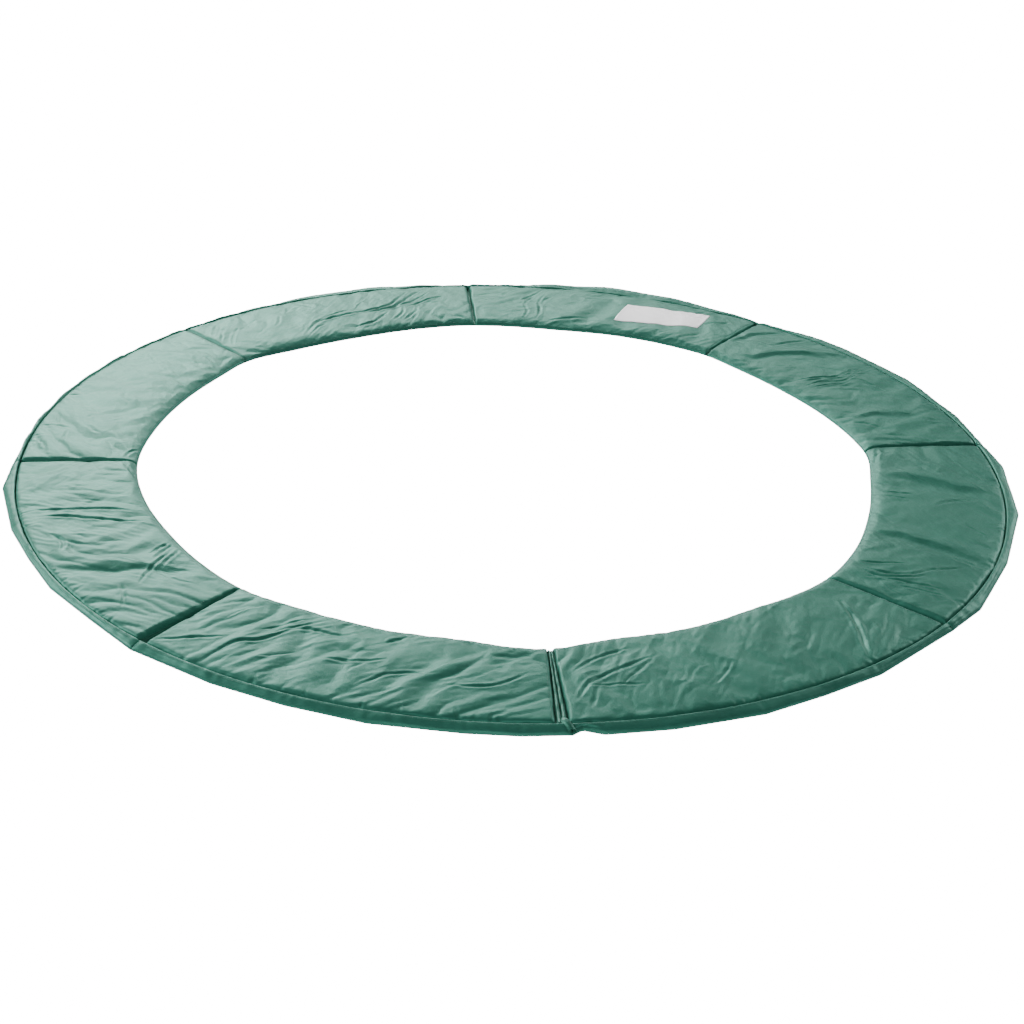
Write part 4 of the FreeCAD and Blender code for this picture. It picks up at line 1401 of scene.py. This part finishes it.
def loop_object(panel):
    """Two flattened loops of ribbed elastic behind the skirt."""
    half_length, half_depth, past, low, high = (value * MM for value in LOOP_SIZES)
    joined = bmesh.new()
    for offset in LOOP_OFFSETS:
        middle = middle_of(panel) + offset

        def place(u, v):
            turn = 2 * math.pi * u
            x = np.sign(np.cos(turn)) * np.abs(np.cos(turn)) ** 0.25 * half_length
            out = np.sin(turn) * half_depth
            rib = 0.12 * MM * np.cos(v * LOOP_RIBS * math.pi)
            y = outer_radius(middle) + past + out + rib * np.sign(out)
            angle = math.radians(middle)
            points = np.stack([x * math.cos(angle) + y * math.sin(angle),
                               y * math.cos(angle) - x * math.sin(angle),
                               low + (high - low) * v], 1)
            return points, np.stack([u * 0.1183, v * 0.0092], 1)

        part = grid_object("elastic", even_steps(72), even_steps(LOOP_RIBS + 1), place)
        with editing(part) as bm:
            bmesh.ops.remove_doubles(bm, verts=bm.verts, dist=1e-5)
            bmesh.ops.recalc_face_normals(bm, faces=bm.faces)
        joined.from_mesh(thickened(part, 0.9 * MM).data)
        bpy.data.objects.remove(part)
    return new_object(f"elastic_loops_{panel}", joined)


class RING_OT_loops(bpy.types.Operator):
    """Make the elastic fastening loops behind the skirt"""

    bl_idname = "padded_ring.loops"
    bl_label = "Elastic loops"

    def execute(self, context):
        finish = material("ribbed_elastic", elastic_band, colours().elastic)
        list(panel_pieces(loop_object, finish, "elastic", "loops"))
        return {"FINISHED"}


# Corners of the blank label patch: (azimuth, radius in mm), inner left, outer left, outer
# right, inner right.
LABEL_CORNERS = [(24.1, 995), (24.5, 1128), (37.0, 1170), (37.6, 1058)]
LABEL_SIZE = (0.25, 0.12)


def surface_of(obj):
    bm = bmesh.new()
    bm.from_mesh(obj.data)
    surface = BVHTree.FromBMesh(bm)
    bm.free()
    return surface


def on_surface(surface, x, y):
    """Point and normal of a surface below a point in plan."""
    place, normal, _, _ = surface.ray_cast(Vector((x, y, 0.1)), Vector((0, 0, -1)))
    return place, normal


def label_corners():
    return [np.array(plan(azimuth, radius * MM)) for azimuth, radius in LABEL_CORNERS]


def label_object():
    """Blank cloth patch lying on the first cover, hemmed along its edges."""
    a, b, c, d = label_corners()
    surface = surface_of(bpy.data.objects["cover_1"])

    def place(u, v):
        low = a + (d - a) * u[:, None]
        high = b + (c - b) * u[:, None]
        spot = low + (high - low) * v[:, None]
        bow = np.sin(math.pi * u) * 5 * MM
        spot = spot - spot / np.linalg.norm(spot, axis=1)[:, None] * (bow * (1 - v))[:, None]
        z = np.array([on_surface(surface, x, y)[0].z for x, y in spot])
        edge = np.minimum(np.minimum(u, 1 - u) * LABEL_SIZE[0],
                          np.minimum(v, 1 - v) * LABEL_SIZE[1])
        hem = np.clip((0.006 - edge) / 0.001, 0, 1)
        z += (0.75 + 0.35 * hem) * MM - np.clip((0.0015 - edge) / 0.0015, 0, 1) * 0.4 * MM
        z += 0.12 * MM * np.sin(u * 37) * np.sin(v * 9 + u * 12)
        return np.column_stack([spot, z]), np.stack([u, v], 1) * LABEL_SIZE

    obj = grid_object("blank_label", even_steps(84), even_steps(40), place)
    thickened(obj, 0.5 * MM)
    points = coordinates(obj.data)
    points[:, 2] = np.minimum(points[:, 2], sizes().highest + 0.5 * MM)
    set_coordinates(obj.data, points)
    return obj


class RING_OT_label(bpy.types.Operator):
    """Make the blank label patch on the first cover"""

    bl_idname = "padded_ring.label"
    bl_label = "Label patch"

    def execute(self, context):
        label = coat(label_object(), material("blank_woven_label", label_cloth, colours().label))
        declared(label, "back_right", "label", "label_patch")
        half_area(label) / 0.252
        return {"FINISHED"}


def unit_stitch():
    """One round stitch of unit size, with a few dozen faces."""
    bm = bmesh.new()
    bmesh.ops.create_uvsphere(bm, u_segments=6, v_segments=4, radius=1)
    mesh = bpy.data.meshes.new("stitch")
    bm.to_mesh(mesh)
    bm.free()
    return mesh


def sewn_row(bm, stitch, surface, path):
    """Sews one row of stitches into a mesh, along a path in plan on a surface."""
    s = sizes()
    line = np.array(path)
    done = np.concatenate([[0], np.cumsum(np.linalg.norm(np.diff(line, axis=0), axis=1))])

    def at(place):
        return np.array([np.interp(place, done, values) for values in line.T])

    count = int(done[-1] / s.stitch_pitch)
    for place in (np.arange(count) + 0.5) * s.stitch_pitch:
        here = at(place)
        spot, normal = on_surface(surface, *here)
        if not spot or normal.z < 0.15:
            continue
        side = normal.cross(Vector((*at(place + MM) - here, 0))).normalized()
        along = side.cross(normal)
        turn = Matrix((side * s.thread, normal * s.thread * 0.8, along * s.stitch / 2))
        where = Matrix.Translation(spot + normal * s.thread * 0.3) @ turn.transposed().to_4x4()
        placed = stitch.copy()
        placed.transform(where)
        bm.from_mesh(placed)
        bpy.data.meshes.remove(placed)


def row_along(panel, across, past):
    """Path in plan along a panel, at a share of its width and some metres past that."""
    azimuth, radius = in_panel(panel, np.linspace(0.01, 0.99, 160), across)
    return np.stack(plan(azimuth, radius + past), 1)


def row_across(panel, along):
    """Path in plan across a panel's cover, near one of its ends."""
    return np.stack(plan(*in_panel(panel, along, np.linspace(0.03, 0.97, 60))), 1)


def stitches_object(name, rows):
    """Rows of stitches, given as (surface, path)."""
    bm = bmesh.new()
    stitch = unit_stitch()
    for surface, path in rows:
        sewn_row(bm, stitch, surface, path)
    bpy.data.meshes.remove(stitch)
    return new_object(name, bm)


class RING_OT_stitches(bpy.types.Operator):
    """Sew the covers, the skirt and the label"""

    bl_idname = "padded_ring.stitches"
    bl_label = "Stitches"

    def execute(self, context):
        thread = material("green_thread", thread_finish, colours().thread)
        for panel in range(1, PANELS + 1):
            cover = surface_of(bpy.data.objects[f"cover_{panel}"])
            skirt = surface_of(bpy.data.objects[f"skirt_{panel}"])
            rows = [(cover, row_along(panel, 0.0, 0.007)), (cover, row_across(panel, 0.0105)),
                    (cover, row_across(panel, 0.9895)), (skirt, row_along(panel, 1.0, 0.0095))]
            stitches = coat(stitches_object(f"stitches_{panel}", rows), thread)
            declared(stitches, BODY_OF_PANEL[panel], "cover_fabric")
        corners = label_corners()
        middle = sum(corners) / 4
        ring = [middle + (c - middle) * (1 - 0.005 / np.linalg.norm(c - middle)) for c in corners]
        label = surface_of(bpy.data.objects["blank_label"])
        pale = material("pale_thread", thread_finish, colours().label)
        border = stitches_object("label_stitches", [(label, ring + ring[:1])])
        declared(coat(border, pale), "back_right", "label")
        return {"FINISHED"}


# Softboxes round the ring: (name, azimuth, share of the power).
SOFTBOXES = [("left_softbox", -75, 0.37), ("back_left_softbox", -22, 0.26),
             ("back_softbox", -2, 0.12), ("back_right_softbox", 18, 0.05),
             ("right_softbox", 60, 0.155), ("front_softbox", 190, 0.125)]
SOFTBOX_SIZE = (2.4, 2.2)
SOFTBOX_DISTANCE = 6.0

# Section of the floor and of the wall behind the ring: (distance from the middle, height).
BACKDROP = [(0.0, 0.0), (4.0, 0.0), (14.0, 0.0), (17.0, 0.5), (19.0, 2.0), (20.0, 5.0),
            (20.0, 14.0)]

# The photograph's camera: distance and height from the ring's middle, its yaw, pitch and roll
# in degrees, and the turn of the whole view about the ring's axis.
CAMERA_DISTANCE = 4.2752
CAMERA_HEIGHT = 2.04169
CAMERA_ANGLES = (0.1321, 27.13, -2.2005)
VIEW_TURN = -6.9381


class RING_OT_studio(bpy.types.Operator):
    """Make the pale floor, the softboxes, the room light and the camera"""

    bl_idname = "padded_ring.studio"
    bl_label = "Studio"

    def execute(self, context):
        look = studio()
        floor_and_backdrop(look)
        for name, azimuth, share in SOFTBOXES:
            softbox(name, azimuth, look.elevation, look.power * share)
        room_light(look.ambient, look.bounce)
        photograph_camera(look.lens)
        return {"FINISHED"}


def floor_and_backdrop(look):
    """Wide floor that curves up into a wall far behind the ring."""
    bm = bmesh.new()
    chain = [bm.verts.new((x, 0, z)) for x, z in BACKDROP]
    edges = [bm.edges.new(pair) for pair in zip(chain, chain[1:])]
    bmesh.ops.spin(bm, geom=chain + edges, cent=(0, 0, 0), axis=(0, 0, 1), dvec=(0, 0, 0),
                   angle=2 * math.pi, steps=96, use_merge=True, use_duplicate=False)
    bmesh.ops.remove_doubles(bm, verts=bm.verts, dist=1e-5)
    bmesh.ops.recalc_face_normals(bm, faces=bm.faces)
    floor = smooth(new_object("studio_floor", bm))
    finish = Finish("pale_paper")
    grain = finish.noise(finish.place(), 3.0)
    body = finish.between(grain, (0.80, 0.80, 0.80), (0.82, 0.82, 0.82))
    floor.data.materials.append(finish.done(
        body, 0.9, finish.bump(grain, 0.0001), Emission_Color=(1, 1, 1, 1),
        Emission_Strength=look.floor_glow))
    floor.visible_diffuse = floor.visible_glossy = floor.visible_shadow = False
    return floor


def softbox(name, azimuth, elevation, power):
    """Large soft light turned towards the ring's middle."""
    data = bpy.data.lights.new(name, "AREA")
    data.shape = "RECTANGLE"
    data.size, data.size_y = SOFTBOX_SIZE
    data.energy = power
    light = link(name, data)
    away = Vector((*plan(azimuth, math.cos(elevation)), math.sin(elevation)))
    light.location = away * SOFTBOX_DISTANCE
    light.rotation_euler = away.to_track_quat("Z", "Y").to_euler()
    light.visible_camera = False


def room_light(brightness, bounce):
    """Dim room above the floor, and the floor's bright bounce from below."""
    world = bpy.data.worlds.new("room")
    bpy.context.scene.world = world
    world.use_nodes = True
    tree = world.node_tree
    background = tree.nodes["Background"]
    background.inputs["Color"].default_value = (0.96, 0.98, 1.0, 1)
    where = tree.nodes.new("ShaderNodeTexCoord")
    split = tree.nodes.new("ShaderNodeSeparateXYZ")
    level = tree.nodes.new("ShaderNodeMapRange")
    tree.links.new(where.outputs["Generated"], split.inputs[0])
    tree.links.new(split.outputs[2], level.inputs["Value"])
    for socket, value in (("From Min", -0.05), ("From Max", 0.05), ("To Min", bounce),
                          ("To Max", brightness)):
        level.inputs[socket].default_value = value
    tree.links.new(level.outputs[0], background.inputs["Strength"])


def photograph_camera(lens):
    """Camera at the photograph's viewpoint."""
    yaw, pitch, roll = (math.radians(angle) for angle in CAMERA_ANGLES)
    turn = Matrix.Rotation(math.radians(VIEW_TURN), 3, "Z")
    across = Vector((math.cos(yaw), -math.sin(yaw), 0))
    forward = Vector((math.sin(yaw), math.cos(yaw), 0))
    upwards = math.sin(pitch) * forward + math.cos(pitch) * Vector((0, 0, 1))
    view = math.cos(pitch) * forward - math.sin(pitch) * Vector((0, 0, 1))
    right = math.cos(roll) * across - math.sin(roll) * upwards
    up = math.sin(roll) * across + math.cos(roll) * upwards
    axes = turn @ Matrix((right, up, -view)).transposed()
    data = bpy.data.cameras.new("photograph_view")
    data.lens = lens
    data.sensor_width = 36.0
    camera = link("photograph_view", data)
    spot = turn @ Vector((0, -CAMERA_DISTANCE, CAMERA_HEIGHT))
    camera.matrix_world = Matrix.Translation(spot) @ axes.to_4x4()
    bpy.context.scene.camera = camera


class RING_PT_panel(bpy.types.Panel):
    """Lists the steps that make the ring"""

    bl_idname = "RING_PT_panel"
    bl_label = "Padded Ring"
    bl_space_type = "VIEW_3D"
    bl_region_type = "UI"
    bl_category = "Padded Ring"

    def draw(self, context):
        for step in OPERATORS:
            self.layout.operator(step.bl_idname)


GROUPS = {"padded_ring_sizes": RingSizes, "padded_ring_colours": RingColours,
          "padded_ring_studio": StudioLook}
OPERATORS = (RING_OT_studio, RING_OT_covers, RING_OT_foam, RING_OT_bases, RING_OT_skirts,
             RING_OT_webs, RING_OT_loops, RING_OT_label, RING_OT_stitches)


def register():
    for name, group in GROUPS.items():
        bpy.utils.register_class(group)
        setattr(bpy.types.Scene, name, PointerProperty(type=group))
    for kind in (*OPERATORS, RING_PT_panel):
        bpy.utils.register_class(kind)


def unregister():
    for kind in (RING_PT_panel, *reversed(OPERATORS)):
        bpy.utils.unregister_class(kind)
    for name, group in GROUPS.items():
        delattr(bpy.types.Scene, name)
        bpy.utils.unregister_class(group)


def main():
    register()
    for step in OPERATORS:
        group, name = step.bl_idname.split(".")
        getattr(getattr(bpy.ops, group), name)()


if __name__ == "__main__":
    main()
